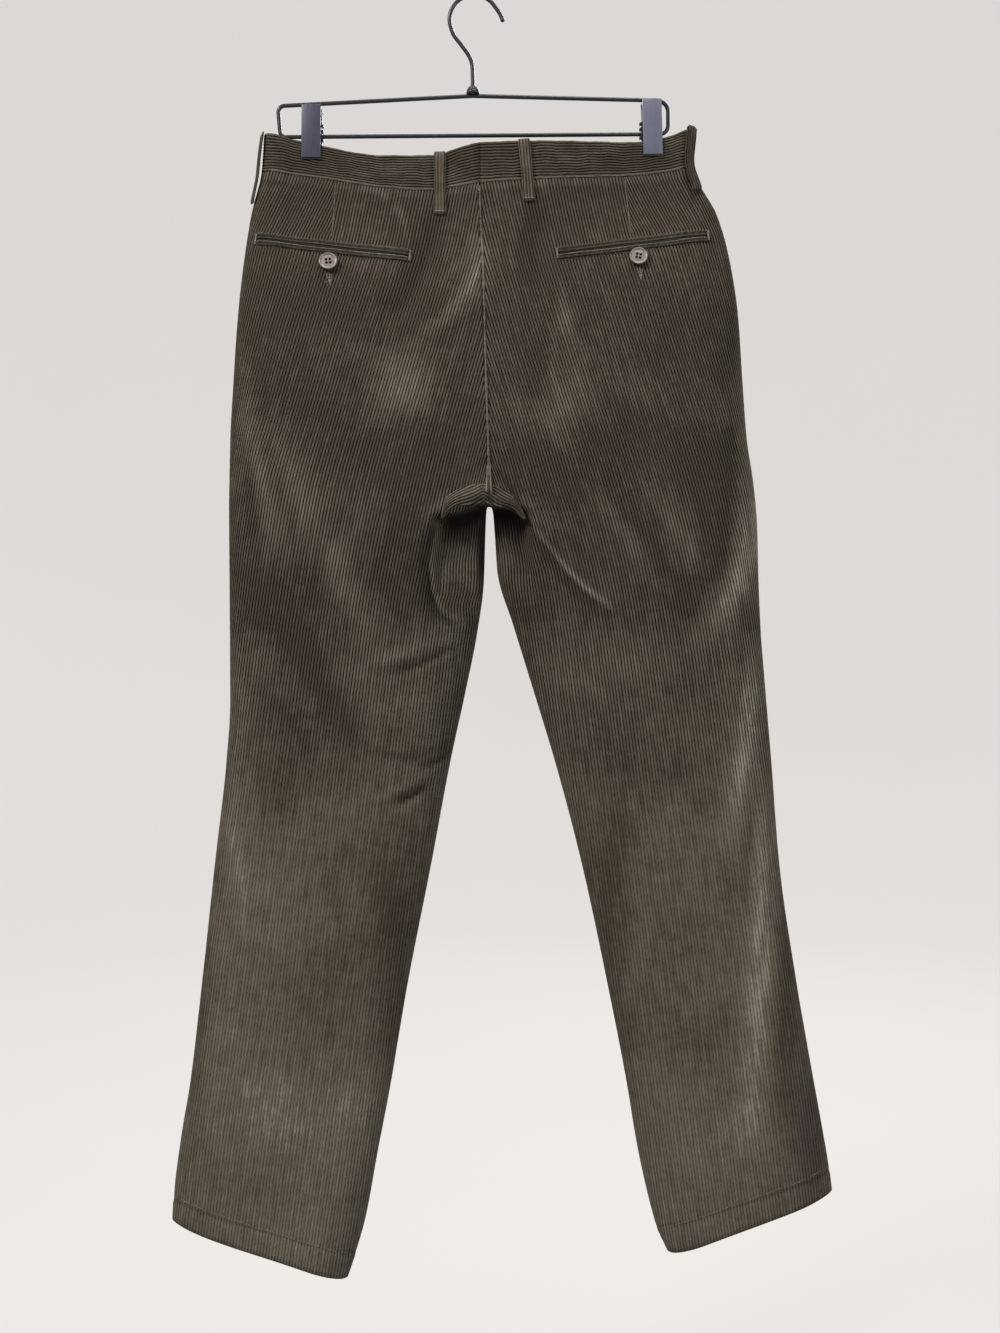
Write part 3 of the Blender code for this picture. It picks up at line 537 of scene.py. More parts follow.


# colour over the cloth
# x, z, how wide, how high, how much: lighter for rubbed cloth and painted light, darker below 0 for painted
# shade
wearAndShadePatches = {
    "back": (
        (-67, -364, 24, 26, 0.44), (0, -262, 13, 34, 0.12), (30, -285, 18, 60, 0.05),
        (83, -305, 10, 20, 0.36), (94, -361, 12, 34, 0.18), (66, -391, 26, 10, 0.16),
        (154, -370, 22, 20, 0.16), (-140, -200, 62, 26, -0.34), (185, -192, 50, 34, -0.34),
        (-196, -290, 18, 70, -0.26), (228, -280, 14, 80, -0.22), (-76, -306, 28, 15, -0.50),
        (-58, -432, 44, 26, -0.40), (-60, -530, 20, 48, -0.42), (-22, -560, 16, 16, -0.5),
        (78, -446, 46, 24, -0.40), (60, -540, 22, 30, -0.30), (130, -430, 40, 30, -0.12),
        (-168, -1040, 60, 62, 0.22), (-200, -800, 40, 70, 0.14), (-75, -900, 20, 120, -0.26),
        (226, -1064, 30, 54, 0.05), (200, -950, 36, 60, -0.14), (128, -900, 16, 150, -0.24),
        (286, -940, 16, 120, -0.42), (-256, -960, 14, 130, -0.20), (316, -1064, 14, 56, -0.34),
        (140, -610, 50, 24, 0.14), (180, -720, 60, 50, 0.02), (-120, -880, 40, 50, -0.10),
        (-96, -628, 40, 26, 0.16), (108, -628, 46, 26, 0.12), (-172, -740, 34, 36, -0.14),
        (-24, -490, 30, 8, 0.1), (200, -460, 40, 40, -0.12), (-190, -560, 26, 30, -0.14),
    ),
    "front": (
        (-150, -690, 60, 70, 0.34), (200, -700, 60, 70, 0.32), (-110, -380, 50, 60, 0.24),
        (140, -380, 50, 60, 0.24), (-190, -1050, 60, 60, 0.20), (230, -1040, 60, 60, 0.20),
        (-30, -300, 20, 60, 0.20), (-150, -240, 60, 50, -0.20), (170, -240, 50, 50, -0.20),
        (-40, -500, 40, 40, -0.25), (60, -500, 40, 40, -0.25), (-200, -860, 24, 160, -0.16),
    ),
}
# how much, how wide, then the x, z points of a line: painted highlight along ridges and edges, painted shade
# along creases below 0
paintedFoldLight = {
    "back": (
        (0.42, 8, ((10, -238), (4, -268), (-14, -298), (-54, -322))),
        (-0.46, 11, ((-46, -200), (-48, -245), (-60, -284), (-96, -312))),
        (0.34, 15, ((-188, -396), (-150, -478), (-120, -540), (-84, -604))),
        (-0.30, 16, ((-206, -540), (-152, -612), (-104, -694))),
        (0.22, 10, ((-216, -360), (-198, -462), (-172, -524))),
        (-0.30, 8, ((56, -196), (52, -250), (58, -300), (56, -396))),
        (0.20, 6, ((70, -318), (74, -360), (82, -402))),
        (0.48, 3.0, ((48, -482), (63, -506), (84, -533), (104, -553), (124, -567))),
        (0.52, 2.8, ((-33, -494), (-37, -510), (-39, -530), (-37, -554), (-28, -571), (-8, -583))),
        (0.30, 4, ((-110, -181), (-88, -184), (-70, -202), (-59, -236))),
        (-0.34, 7, ((-104, -192), (-84, -197), (-73, -212), (-66, -238))),
        (0.22, 3, ((-78, -742), (-60, -734), (-46, -727))),
        (0.28, 9, ((60, -392), (84, -424), (114, -466), (148, -512), (172, -550))),
        (-0.40, 9, ((46, -502), (68, -532), (102, -576))),
        (0.72, 13, ((266, -446), (256, -505), (244, -548), (206, -600))),
        (0.60, 12, ((260, -596), (253, -660), (244, -724), (234, -786))),
        (0.50, 15, ((269, -740), (269, -800), (266, -880), (259, -962), (251, -1060))),
        (-0.46, 12, ((228, -440), (217, -515), (196, -572))),
        (-0.30, 6, ((-206, -420), (-204, -470), (-198, -525))),
        (0.16, 13, ((-226, -610), (-218, -690), (-222, -760), (-214, -820), (-206, -880))),
        (0.20, 9, ((120, -400), (160, -460), (200, -520), (214, -570))),
        (-0.20, 12, ((100, -420), (150, -500), (190, -560))),
        (0.24, 4, ((-74, -616), (-48, -612), (-18, -596))),
        (0.20, 5, ((-110, -668), (-80, -660), (-40, -652))),
        (-0.26, 4, ((-92, -700), (-60, -706), (-24, -694))),
        (-0.22, 5, ((-200, -640), (-172, -664), (-150, -700))),
    ),
    "front": (
        (0.30, 8, ((-226, -440), (-218, -560), (-226, -700), (-238, -800))),
        (0.30, 8, ((262, -440), (258, -560), (266, -700), (276, -800))),
        (-0.22, 12, ((-20, -420), (-70, -470), (-120, -500))),
        (-0.22, 12, ((40, -420), (90, -470), (150, -496))),
        (0.20, 10, ((-190, -600), (-120, -612), (-60, -606))),
        (0.20, 10, ((240, -620), (170, -634), (100, -624))),
    ),
}
# painted sheen: the base tone grows lighter from the seat towards the hem
paintedSheenByHeight = (
    (-1200, 0.50), (-1000, 0.47), (-860, 0.35), (-700, 0.25), (-560, 0.19), (-400, 0.13),
    (-300, 0.07), (-160, 0.06),
)
# strengths of the tone's marks: rubbed wear and random mottling, and painted light and shade along lines,
# edges, folds and the seat's lip
napAndPaintedLight = {
    "patch": 1.25, "streak": 1.12, "edgeWidth": 11, "edge": {"left": -0.10, "right": 0.22},
    "mottle": 0.07, "lipHighlight": 0.45, "stepLight": 0.32, "stepShade": 0.3, "most": 1.3,
}
shade = {
    "lip": 0.97, "reach": {"left": 17.0, "right": 19.0}, "flap": 0.85,
    "flapLine": ((-34, -492), (-38, -508), (-41, -530), (-39, -555), (-31, -573), (-14, -586)),
    "fadedX": 306, "fadedZ": -1050, "faded": 0.75,
}


def toneAt(side, face, x, z, fromEdge):
    tone = tableAt(paintedSheenByHeight, z)
    for px, pz, wide, high, much in wearAndShadePatches[face]:
        tone = tone + napAndPaintedLight["patch"] * much * bell(x - px, wide) * bell(z - pz, high)
    for much, wide, points in paintedFoldLight[face]:
        best, _, along = lineField(x, z, points)
        ends = np.sin(math.pi * (0.06 + 0.88 * along)) ** 0.7
        tone = tone + napAndPaintedLight["streak"] * much * bell(best, wide) * ends
    # painted sheen along the right leg's outer edge above the knee, painted shade along the left leg's
    edge = napAndPaintedLight["edge"][side] * bell(fromEdge, napAndPaintedLight["edgeWidth"]) * ease((-180 - z) / 150)
    tone = tone + edge * (1 - ease((-520 - z) / 80) if side == "right" else 1)
    wave = np.sin(0.021 * x + 0.013 * z + 1.0) * np.sin(0.034 * z - 0.017 * x)
    tone = tone + napAndPaintedLight["mottle"] * wave
    # a painted highlight on the rim just above the seat's lip
    if face == "back":
        fromInner = np.abs(x - tableAt(innerEdge[side], z))
        over = z - hang["lipZ"] + lipDrop(side, fromInner)
        near = 1 - ease((fromInner - hollows[side]["width"]) / 12)
        tone = tone + napAndPaintedLight["lipHighlight"] * bell(over - 3, 3.5) * near
    # painted highlights on the ridges and a step's crest, painted shade in the troughs and beside the step
    for kind, height, width, _, points in foldsOf(side, face):
        best, signed, along = lineField(x, z, points)
        if kind == "step":
            light = napAndPaintedLight["stepLight"] * bell(best, 3.0) - napAndPaintedLight["stepShade"] * bell(signed + 9, 8)
        else:
            light = (0.06 if width > 3 else 0.16) * height * bell(best, 0.7 * width)
        tone = tone + light * tapered(along)
    return np.clip(tone, 0.0, napAndPaintedLight["most"])


def gloomAt(side, face, x, z):
    # the deep shade under the seat's lip and beside the fold lines
    deep = np.zeros_like(x)
    if face == "back":
        fromInner = np.abs(x - tableAt(innerEdge[side], z))
        under = hang["lipZ"] - lipDrop(side, fromInner) - z
        below = ease((under + 1.0) / 4)
        fade = np.exp(-(np.maximum(0, under - 11) / shade["reach"][side]) ** 1.4)
        near = 1 - ease((fromInner - hollows[side]["width"] + 14) / 16)
        deep = shade["lip"] * below * fade * near
        if side == "left":
            wedge = 1 - ease((fromInner - 4) / (12 * np.clip((z + 572) / 90, 0.02, 1)))
            deep = np.maximum(deep, shade["flap"] * below * wedge * ease((z + 572) / 50))
            fold, signed, along = lineField(x, z, shade["flapLine"])
            inside = ease((0.8 - signed) / 1.6) * np.exp(-np.maximum(0, fold) / 7.5)
            deep = np.maximum(deep, shade["flap"] * inside * np.sin(math.pi * along) ** 0.5)
    for _, height, width, _, points in foldsOf(side, face):
        if height < 0:
            best, _, along = lineField(x, z, points)
            dark = (0.14 if width < 4.8 else 0.05) * -height
            deep = np.maximum(deep, dark * tapered(along) * bell(best, 0.45 * width))
    return np.clip(deep, 0, shade["lip"])


# painted shade: a darker purplish cast just inside the right leg's outer edge near the hem
def plumAt(side, x, z):
    if side == "left":
        return np.zeros_like(x)
    return shade["faded"] * bell(x - shade["fadedX"], 15) * bell(z - shade["fadedZ"], 75)


# meshes from points
def meshObject(name, points, faces, material, values=None, uv=None, second=None):
    mesh = bpy.data.meshes.new(name)
    mesh.from_pydata((np.asarray(points) * mm).tolist(), [], faces)
    mesh.materials.append(material)
    if second:
        mesh.materials.append(second[0])
        mesh.polygons.foreach_set("material_index", second[1])
    for key, data in (values or {}).items():
        layer = mesh.attributes.new(key, "FLOAT", "POINT")
        layer.data.foreach_set("value", np.asarray(data, np.float32))
    if uv is not None:
        layer = mesh.uv_layers.new(name="cut")
        loops = np.empty(len(mesh.loops), np.int32)
        mesh.loops.foreach_get("vertex_index", loops)
        layer.data.foreach_set("uv", (np.asarray(uv) * mm)[loops].astype(np.float32).reshape(-1))
    mesh.shade_smooth()
    mesh.update()
    obj = bpy.data.objects.new(name, mesh)
    bpy.context.scene.collection.objects.link(obj)
    return obj


def dress(obj, slot, *nodes):
    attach(obj, "root")
    if nodes:
        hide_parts(*nodes)
    return obj


legCut = {
    "wale": 2.85, "crown": 0.62, "shares": (0.0, 0.27, 0.73), "rowStep": 8.6, "lipRow": 2.6,
    "wall": 1.3, "hemWall": 2.4, "dense": 230, "fullColumn": 120, "middleColumn": 140,
}
# where rows lie closer: side, height, how far it reaches, how much, how square
closeRows = (
    ("both", -530, 58, 0.86, 4), ("left", -615, 28, 0.84, 4), ("left", -724, 38, 0.84, 4),
)
# x of the lengthwise grain line that the wales run along
grainLean = {
    "left": {
        "hem": (-199, -1163),
        "lean": (
            (-1200, 8.2), (-640, 7.8), (-480, 12.5), (-420, 15.5), (-260, 16.5), (-225, 12.0),
            (-160, 10.5),
        ),
    },
    "right": {
        "hem": (258, -1138),
        "lean": (
            (-1200, -7.6), (-640, -8.2), (-480, -15.5), (-420, -18.0), (-260, -16.5),
            (-225, -12.5), (-160, -11.5),
        ),
    },
}
darts = {
    "left": {"top": (-128, -172), "tip": (-131, -227), "take": 14.0},
    "right": {"top": (139.5, -169), "tip": (145, -224), "take": 14.0},
}
pockets = {
    "left": ((-200, -229.5), (-59, -246)),
    "right": ((77, -244), (215, -226.5)),
}
pocketCut = {"welt": 4.6, "slit": 1.8}


def grainX(side, z):
    heights = np.arange(-1210.0, -110.0, 5.0)
    lean = np.tan(np.radians(tableAt(grainLean[side]["lean"], heights)))
    x = np.concatenate([[0], np.cumsum((lean[1:] + lean[:-1]) / 2 * 5.0)])
    hemX, hemZ = grainLean[side]["hem"]
    x += hemX - np.interp(hemZ, heights, x)
    return np.interp(z, heights, x)


def rowHeights(side, face):
    top, bottom = rowEnds[side][0][0], rowEnds[side][-1][0]
    rows = [top - 0.3]
    while rows[-1] > bottom + 36:
        near = math.exp(-(((rows[-1] + 476) / 17) ** 2))
        for where, height, reach, much, square in closeRows:
            if face == "back" and where in ("both", side):
                near = max(near, much * math.exp(-(((rows[-1] - height) / reach) ** square)))
        rows.append(rows[-1] - (legCut["rowStep"] - (legCut["rowStep"] - legCut["lipRow"]) * near))
    hem = bottom + hang["hemDepth"]
    rows = rows[:-1] + [hem + drop for drop in (4, 1.2, 0, -1.2, -5, -12)]
    return rows + [bottom + rise for rise in (6, 1.6, 0.4, 0)]


def flattened(side, face, x, z):
    # how much of the wale's height is left: little under the welts and along the darts
    left = np.ones_like(x)
    if face == "back":
        best, _, _ = lineField(x, z, pockets[side])
        left *= 1 - 0.85 * ease((7.5 - best) / 2.0)
        best, _, _ = lineField(x, z, (darts[side]["top"], darts[side]["tip"]))
        left *= ease((best - 0.4) / 1.6)
    return left


def panelGrid(side, face, heights):
    # the panel's form as rows of points from waist to hem, and its outward normals
    sign = -1 if face == "back" else 1
    outward = outwardOf[side]
    xs, zs = zip(*(rowLine(side, face, z, legCut["dense"]) for z in heights))
    x, z = np.array(xs), np.array(zs)
    depth = np.maximum(depthAt(side, face, x, z), hang["seamGap"] / 2)
    grid = np.stack([x, sign * depth, z], axis=2)
    normal = unit(np.cross(np.gradient(grid, axis=0), np.gradient(grid, axis=1)))
    full = legCut["fullColumn"]
    normal *= np.sign(normal[:, full : full + 1, 1:2]) * sign
    for i, innerZ in enumerate(heights):
        edge = normal[i, -1]
        if innerZ >= hang["lipZ"] - 1:
            edge[0] = 0
        elif innerZ > hang["crotchZ"]:
            edge[0] = 0
            edge[1] *= ease((abs(grid[i, -1, 1]) - 2) / 8)
        else:
            edge[:] = (-outward, 0, 0)
    normal[:, 0] = (outward, 0, 0)
    normal[0, :, 2] = 0
    normal[-1, :, 2] = 0
    normal = unit(normal)
    if side == "right":  # every row runs towards +X
        grid, normal = grid[:, ::-1], normal[:, ::-1]
    return grid, normal


def acrossWales(side, face, grid):
    # distance across the cloth from the grain line, without what the dart takes in
    x, z = grid[:, :, 0], grid[:, :, 2]
    steps = np.linalg.norm(np.diff(grid, axis=1), axis=2)
    arc = np.concatenate([np.zeros((len(grid), 1)), np.cumsum(steps, axis=1)], axis=1)
    offLine = x - grainX(side, z)
    across = np.empty_like(arc)
    for i in range(len(grid)):
        order = np.argsort(offLine[i])
        across[i] = arc[i] - np.interp(0.0, offLine[i][order], arc[i][order])
    if face == "back":
        dart, outward = darts[side], outwardOf[side]
        share = np.clip((z - dart["tip"][1]) / (dart["top"][1] - dart["tip"][1]), 0, 1)
        lineX = dart["tip"][0] + (dart["top"][0] - dart["tip"][0]) * share
        beyond = ease(((x - lineX) * outward + 0.9) / 1.8)
        across = across + outward * dart["take"] * share * beyond
    return across


def waleColumns(start, end):
    # where each wale's trough and two shoulders lie in a row, numbered from the grain line
    pitch = legCut["wale"]
    n = np.arange(int(math.ceil(start / pitch)) * 3 - 2, int(math.floor(end / pitch)) * 3 + 3)
    at = pitch * (n // 3 + np.take(legCut["shares"], n % 3))
    keep = (at > start + 0.35) & (at < end - 0.35)
    return n[keep], at[keep]


def rowRise(side, face, spot, aboveHem, crown, fromEdge):
    # how far each point of a row stands out from the panel's form
    raised = legCut["crown"] * crown * (0.25 + 0.75 * ease(fromEdge / 3.0))
    raised *= flattened(side, face, spot[:, 0], spot[:, 2])
    groove = math.exp(-(((aboveHem - hang["hemDepth"]) / 1.5) ** 2))
    raised = raised * (1 - 0.2 * groove) - 0.12 * groove
    if aboveHem < hang["hemDepth"] - 2:
        raised = raised + 0.45
    curl = ease(aboveHem / 1.6)
    wall = legCut["wall"] if aboveHem > hang["hemDepth"] else legCut["hemWall"]
    return raised * curl - 0.7 * (1 - curl), wall * (0.55 + 0.45 * curl), groove


def panelFaces(rows, count):
    # the outer faces, the same turned round for the reverse, and the rims between them
    faces = []
    for upper, lower in zip(rows[:-1], rows[1:]):
        faces.extend(zipRows(upper, lower))
    outerCount = len(faces)
    faces = faces + [tuple(count + v for v in face[::-1]) for face in faces]
    ends = [(start, start + last - first + 2) for start, first, last in rows]
    for v in range(*ends[0]):
        faces.append((v, v + 1, count + v + 1, count + v))
    for v in range(*ends[-1]):
        faces.append((v + 1, v, count + v, count + v + 1))
    for (a, aLast), (b, bLast) in zip(ends[:-1], ends[1:]):
        faces.append((b, a, count + a, count + b))
        faces.append((aLast, bLast, count + bLast, count + aLast))
    isBack = np.zeros(len(faces), np.int32)
    isBack[outerCount : 2 * outerCount] = 1
    return faces, isBack


def panelPiece(side, face):
    heights = rowHeights(side, face)
    grid, normal = panelGrid(side, face, heights)
    across = acrossWales(side, face, grid)
    down = np.linalg.norm(np.diff(grid[:, legCut["middleColumn"]], axis=0), axis=1)
    length = np.concatenate([[0], np.cumsum(down)])
    points, inner, uv, rows = [], [], [], []
    dye = {"wale": [], "tone": [], "plum": [], "gloom": []}
    count = 0
    for i, height in enumerate(heights):
        start, end = across[i, 0], across[i, -1]
        n, at = waleColumns(start, end)
        every = np.concatenate([[start], at, [end]])
        where = np.interp(every, across[i], np.arange(across.shape[1]))
        low = np.floor(where).astype(int).clip(0, across.shape[1] - 2)
        part = (where - low)[:, None]
        spot = grid[i, low] * (1 - part) + grid[i, low + 1] * part
        out = unit(normal[i, low] * (1 - part) + normal[i, low + 1] * part)
        crown = np.concatenate([[0], (n % 3 != 0).astype(float), [0]])
        fromEdge = np.minimum(every - start, end - every)
        raised, wall, groove = rowRise(side, face, spot, height - heights[-1], crown, fromEdge)
        points.append(spot + out * raised[:, None])
        inner.append(spot - out * wall)
        # painted sheen: below the knee the troughs are painted lighter too
        lowerSheen = 0.62 * ease((-560 - height) / 240)
        x, z = spot[:, 0], spot[:, 2]
        dye["wale"].append(np.where(crown > 0, 1.0, lowerSheen) * (1 - 0.15 * groove))
        dye["tone"].append(toneAt(side, face, x, z, np.abs(x - tableAt(outseam[side], z))))
        dye["plum"].append(plumAt(side, x, z))
        dye["gloom"].append(gloomAt(side, face, x, z))
        uv.append(np.stack([every, np.full(len(every), length[i])], axis=1))
        rows.append((count, int(n[0]), int(n[-1])))
        count += len(every)
    faces, isBack = panelFaces(rows, count)
    if face == "front":
        faces = [f[::-1] for f in faces]
    values = {key: np.tile(np.concatenate(rowsOf), 2) for key, rowsOf in dye.items()}
    cut = np.tile(np.concatenate(uv), (2, 1))
    name = f"{face}Panel{side.title()}"
    points = np.concatenate(points + inner)
    obj = meshObject(name, points, faces, corduroy, values, cut, (twillBack, isBack))
    wide = across[:, -1] - across[:, 0]
    area = float(np.sum((wide[1:] + wide[:-1]) / 2 * np.diff(length)))
    dress(obj, "corduroy", f"{face}_{side}")
    return obj, float(wide.max()), float(length[-1]), area


def zipRows(upper, lower):
    # faces between two rows of columns that start and end at their own places
    a0, aFirst, aLast = upper
    b0, bFirst, bLast = lower
    a = lambda n: a0 + 1 + n - aFirst
    b = lambda n: b0 + 1 + n - bFirst
    aEnd, bEnd = a(aLast) + 1, b(bLast) + 1
    low, high = max(aFirst, bFirst), min(aLast, bLast)
    faces = []
    if aFirst == low:
        chain = [b0] + [b(n) for n in range(bFirst, low + 1)]
        faces += [(a0, p, q) for p, q in zip(chain[:-1], chain[1:])]
        faces.append((a0, b(low), a(low)))
    else:
        chain = [a0] + [a(n) for n in range(aFirst, low + 1)]
        faces += [(p, b0, q) for p, q in zip(chain[:-1], chain[1:])]
        faces.append((a(low), b0, b(low)))
    faces += [(a(n), b(n), b(n + 1), a(n + 1)) for n in range(low, high)]
    if aLast == high:
        faces.append((a(high), b(high), aEnd))
        chain = [b(n) for n in range(high, bLast + 1)] + [bEnd]
        faces += [(aEnd, p, q) for p, q in zip(chain[:-1], chain[1:])]
    else:
        faces.append((a(high), b(high), bEnd))
        chain = [a(n) for n in range(high, aLast + 1)] + [aEnd]
        faces += [(p, bEnd, q) for p, q in zip(chain[:-1], chain[1:])]
    return faces


legPanels = {}
for legSide in sides:
    for legFace in ("back", "front"):
        legPanels[legFace, legSide] = panelPiece(legSide, legFace)
print("leg panels made")


# closed shapes for the small pieces
def outwards(points, faces):
    # the same faces, turned so that they point out of the closed shape
    points = np.asarray(points, float)
    middle = points.mean(axis=0)
    volume = 0.0
    for face in faces:
        a = points[face[0]] - middle
        for b, c in zip(face[1:-1], face[2:]):
            volume += np.dot(a, np.cross(points[b] - middle, points[c] - middle))
    return faces if volume > 0 else [face[::-1] for face in faces]


def sweep(path, normal, section, size=None):
    # a closed section of (across, out) points carried along a path on the cloth
    path, normal = np.asarray(path, float), np.asarray(normal, float)
    section = np.asarray(section, float)
    run = unit(np.gradient(path, axis=0))
    across = unit(np.cross(normal, run))
    up = np.cross(run, across)
    size = np.ones((len(path), 2)) if size is None else np.asarray(size, float)
    shape = section[None] * size[:, None]
    rings = path[:, None] + across[:, None] * shape[:, :, :1] + up[:, None] * shape[:, :, 1:]
    count = len(section)
    faces = []
    for i in range(len(path) - 1):
        for k in range(count):
            n = (k + 1) % count
            faces.append((i * count + k, i * count + n, (i + 1) * count + n, (i + 1) * count + k))
    last = (len(path) - 1) * count
    faces.append(tuple(range(count))[::-1])
    faces.append(tuple(range(last, last + count)))
    points = rings.reshape(-1, 3)
    return points, outwards(points, faces)


def joined(name, parts, material, waleOf=None, toneOf=None):
    # several closed shapes as one piece, with what the corduroy needs
    points, faces, wale, tone = [], [], [], []
    count = 0
    for i, (partPoints, partFaces) in enumerate(parts):
        faces += [tuple(v + count for v in face) for face in partFaces]
        points.append(partPoints)
        wale.append(waleOf[i] if waleOf else np.full(len(partPoints), 0.7))
        tone.append(toneOf[i] if toneOf else np.full(len(partPoints), 0.4))
        count += len(partPoints)
    points = np.concatenate(points)
    values = {"wale": np.concatenate(wale), "tone": np.concatenate(tone)}
    return meshObject(name, points, faces, material, values, points[:, [0, 2]])


def smoothPath(points, steps=6):
    # a Catmull-Rom line through the points
    points = [np.array(p, float) for p in points]
    points = [2 * points[0] - points[1]] + points + [2 * points[-1] - points[-2]]
    made = []
    for p0, p1, p2, p3 in zip(points, points[1:], points[2:], points[3:]):
        for t in np.arange(steps) / steps:
            square = (2 * p0 - 5 * p1 + 4 * p2 - p3) * t**2
            cube = (3 * p1 - p0 - 3 * p2 + p3) * t**3
            made.append(0.5 * (2 * p1 + (p2 - p0) * t + square + cube))
    return made + [points[-2]]


class Line:
    # a line of x, z points, read by the distance along it
    def __init__(self, points):
        self.points = np.array(points, float)
        steps = np.hypot(*np.diff(self.points, axis=0).T)
        self.gaps = np.concatenate([[0], np.cumsum(steps)])
        self.length = self.gaps[-1]

    def at(self, distance):
        return [np.interp(distance, self.gaps, self.points[:, k]) for k in (0, 1)]


def surfaceLine(face, points, lift=0.0, step=3.0):
    # points and normals every few millimetres along a line on the cloth
    line = Line(points)
    x, z = line.at(np.linspace(0, line.length, max(3, int(line.length / step) + 1)))
    return onCloth(face, x, z, np.full(len(x), lift))


def stitches(face, points, pitch, length, width, height, lift, slant=0.0, wander=0.0, seed=1):
    # short rounded stitches lying along a line on the cloth
    rng = np.random.default_rng(seed)
    line = Line(points)
    half, crest = width / 2, width * 0.35
    section = ((-half, -0.2), (half, -0.2), (crest, height), (-crest, height))
    size = np.array([(0.3, 0.2), (1, 1), (1, 1), (0.3, 0.2)])
    parts = []
    for at in np.arange(pitch / 2, line.length, pitch):
        x, z = line.at(at)
        ahead = min(at + 1, line.length)
        (nextX, nextZ), (lastX, lastZ) = line.at(ahead), line.at(ahead - 1)
        angle = math.atan2(nextZ - lastZ, nextX - lastX) + slant + rng.normal(0, 0.12)
        x, z = x + rng.normal(0, wander), z + rng.normal(0, wander)
        spread = np.array([-0.5, -0.3, 0.3, 0.5]) * length * rng.uniform(0.75, 1.2)
        x, z = x + spread * math.cos(angle), z + spread * math.sin(angle)
        parts.append(sweep(*onCloth(face, x, z, np.full(4, lift)), section, size))
    return parts


def ridge(face, line, width, height, lift=0.0, step=3.0, wander=0.0, seed=3):
    points, normal = surfaceLine(face, line, lift, step)
    rng = np.random.default_rng(seed)
    size = 1 + rng.normal(0, wander, (len(points), 2))
    size[[0, -1]] *= 0.5
    foot, side = (width / 2, -0.3), (width / 3, height * 0.7)
    section = [(-foot[0], foot[1]), (-side[0], side[1]), (0, height), side, foot]
    return sweep(points, normal, section, np.clip(size, 0.15, 2))


def slabFaces(rows, wide):
    # faces of a slab whose outer grid of points comes first and its inner grid second
    count = rows * wide
    outer, inner, rim = [], [], []
    for i in range(rows - 1):
        a, b = i * wide, (i + 1) * wide
        for j in range(wide - 1):
            outer.append((a + j, a + j + 1, b + j + 1, b + j))
            inner.append((count + a + j, count + b + j, count + b + j + 1, count + a + j + 1))
        rim.append((a, b, count + b, count + a))
        a, b = a + wide - 1, b + wide - 1
        rim.append((b, a, count + a, count + b))
    end = (rows - 1) * wide
    for j in range(wide - 1):
        rim.append((j, count + j, count + j + 1, j + 1))
        rim.append((end + j, end + j + 1, count + end + j + 1, count + end + j))
    isBack = np.zeros(len(outer) * 2 + len(rim), np.int32)
    isBack[len(outer) : 2 * len(outer)] = 1
    return outer + inner + rim, isBack


def slabPiece(name, outer, inner, wale, tone, uv):
    # a sheet of corduroy with its reverse, from two grids of points
    shape = outer.shape[:2]
    faces, isBack = slabFaces(*shape)
    points = np.concatenate([outer.reshape(-1, 3), inner.reshape(-1, 3)])
    both = lambda data: np.tile(np.broadcast_to(data, shape).reshape(-1), 2)
    values = {"wale": both(wale), "tone": both(tone)}
    uv = np.tile(uv.reshape(-1, 2), (2, 1))
    faces = outwards(points, faces)
    return meshObject(name, points, faces, corduroy, values, uv, (twillBack, isBack))


# waistband
band = {"wales": 13, "crown": 0.65, "wall": 2.2, "step": 4.0, "lap": 0.5}
clips = {
    "left": {"x": -150.5, "top": -102.0, "bottom": -151.5, "lean": 0.4},
    "right": {"x": 164.7, "top": -97.0, "bottom": -148.5, "lean": -1.6},
}


def bandColumns(side):
    # from the centre back round the side to the centre front: face and x
    outerX = waistEnd(side)[0]
    inward = -outwardOf[side]
    start = hang["centreX"] - inward * hang["seamGap"] / 2
    start += band["lap"] if side == "left" else 0
    bend = outerX + inward * 17 * (1 - np.cos(np.radians(np.linspace(0, 84, 9))))
    straight = np.arange(abs(start - bend[-1]) // band["step"]) * band["step"] * inward
    straight = bend[-1] + straight[1:]
    fromSide = np.concatenate([bend, straight, [start]])
    back = [("back", float(x)) for x in fromSide[::-1]]
    return back + [("front", float(x)) for x in fromSide[1:]]


def bandColumn(side, face, x, shares):
    # one upright line of points on the band, from its lower to its upper edge
    outerX = waistEnd(side)[0]
    low = float(waistSeam(face, x)) + hang["seamGap"] / 2
    high = float(bandTop(face, x))
    wave = 0.5 * math.sin(0.11 * x + (1.3 if face == "back" else 4.0)) + 0.35 * math.sin(0.31 * x)
    z = low + (high - low) * shares + wave * np.sin(math.pi * shares)
    shifted = x + (tableAt(outseam[side], z) - outerX) * ease(1 - abs(x - outerX) / 60)
    y = depthAt(side, face, shifted, z) if x != outerX else np.zeros_like(z)
    # the band ripples, but not in a clip's grip nor round the side
    free = ease((abs(x - clips[side]["x"]) - 11) / 12) * ease((abs(x - outerX) - 3) / 25)
    y = y + free * (0.5 * np.sin(0.23 * x + 6 * shares) + 0.35 * math.sin(0.61 * x + 2))
    if face == "back" and side == "left":
        y = y + 0.9 * math.exp(-(((x - 3) / 2.5) ** 2))
    return np.stack([shifted, -y if face == "back" else y, z], axis=1)


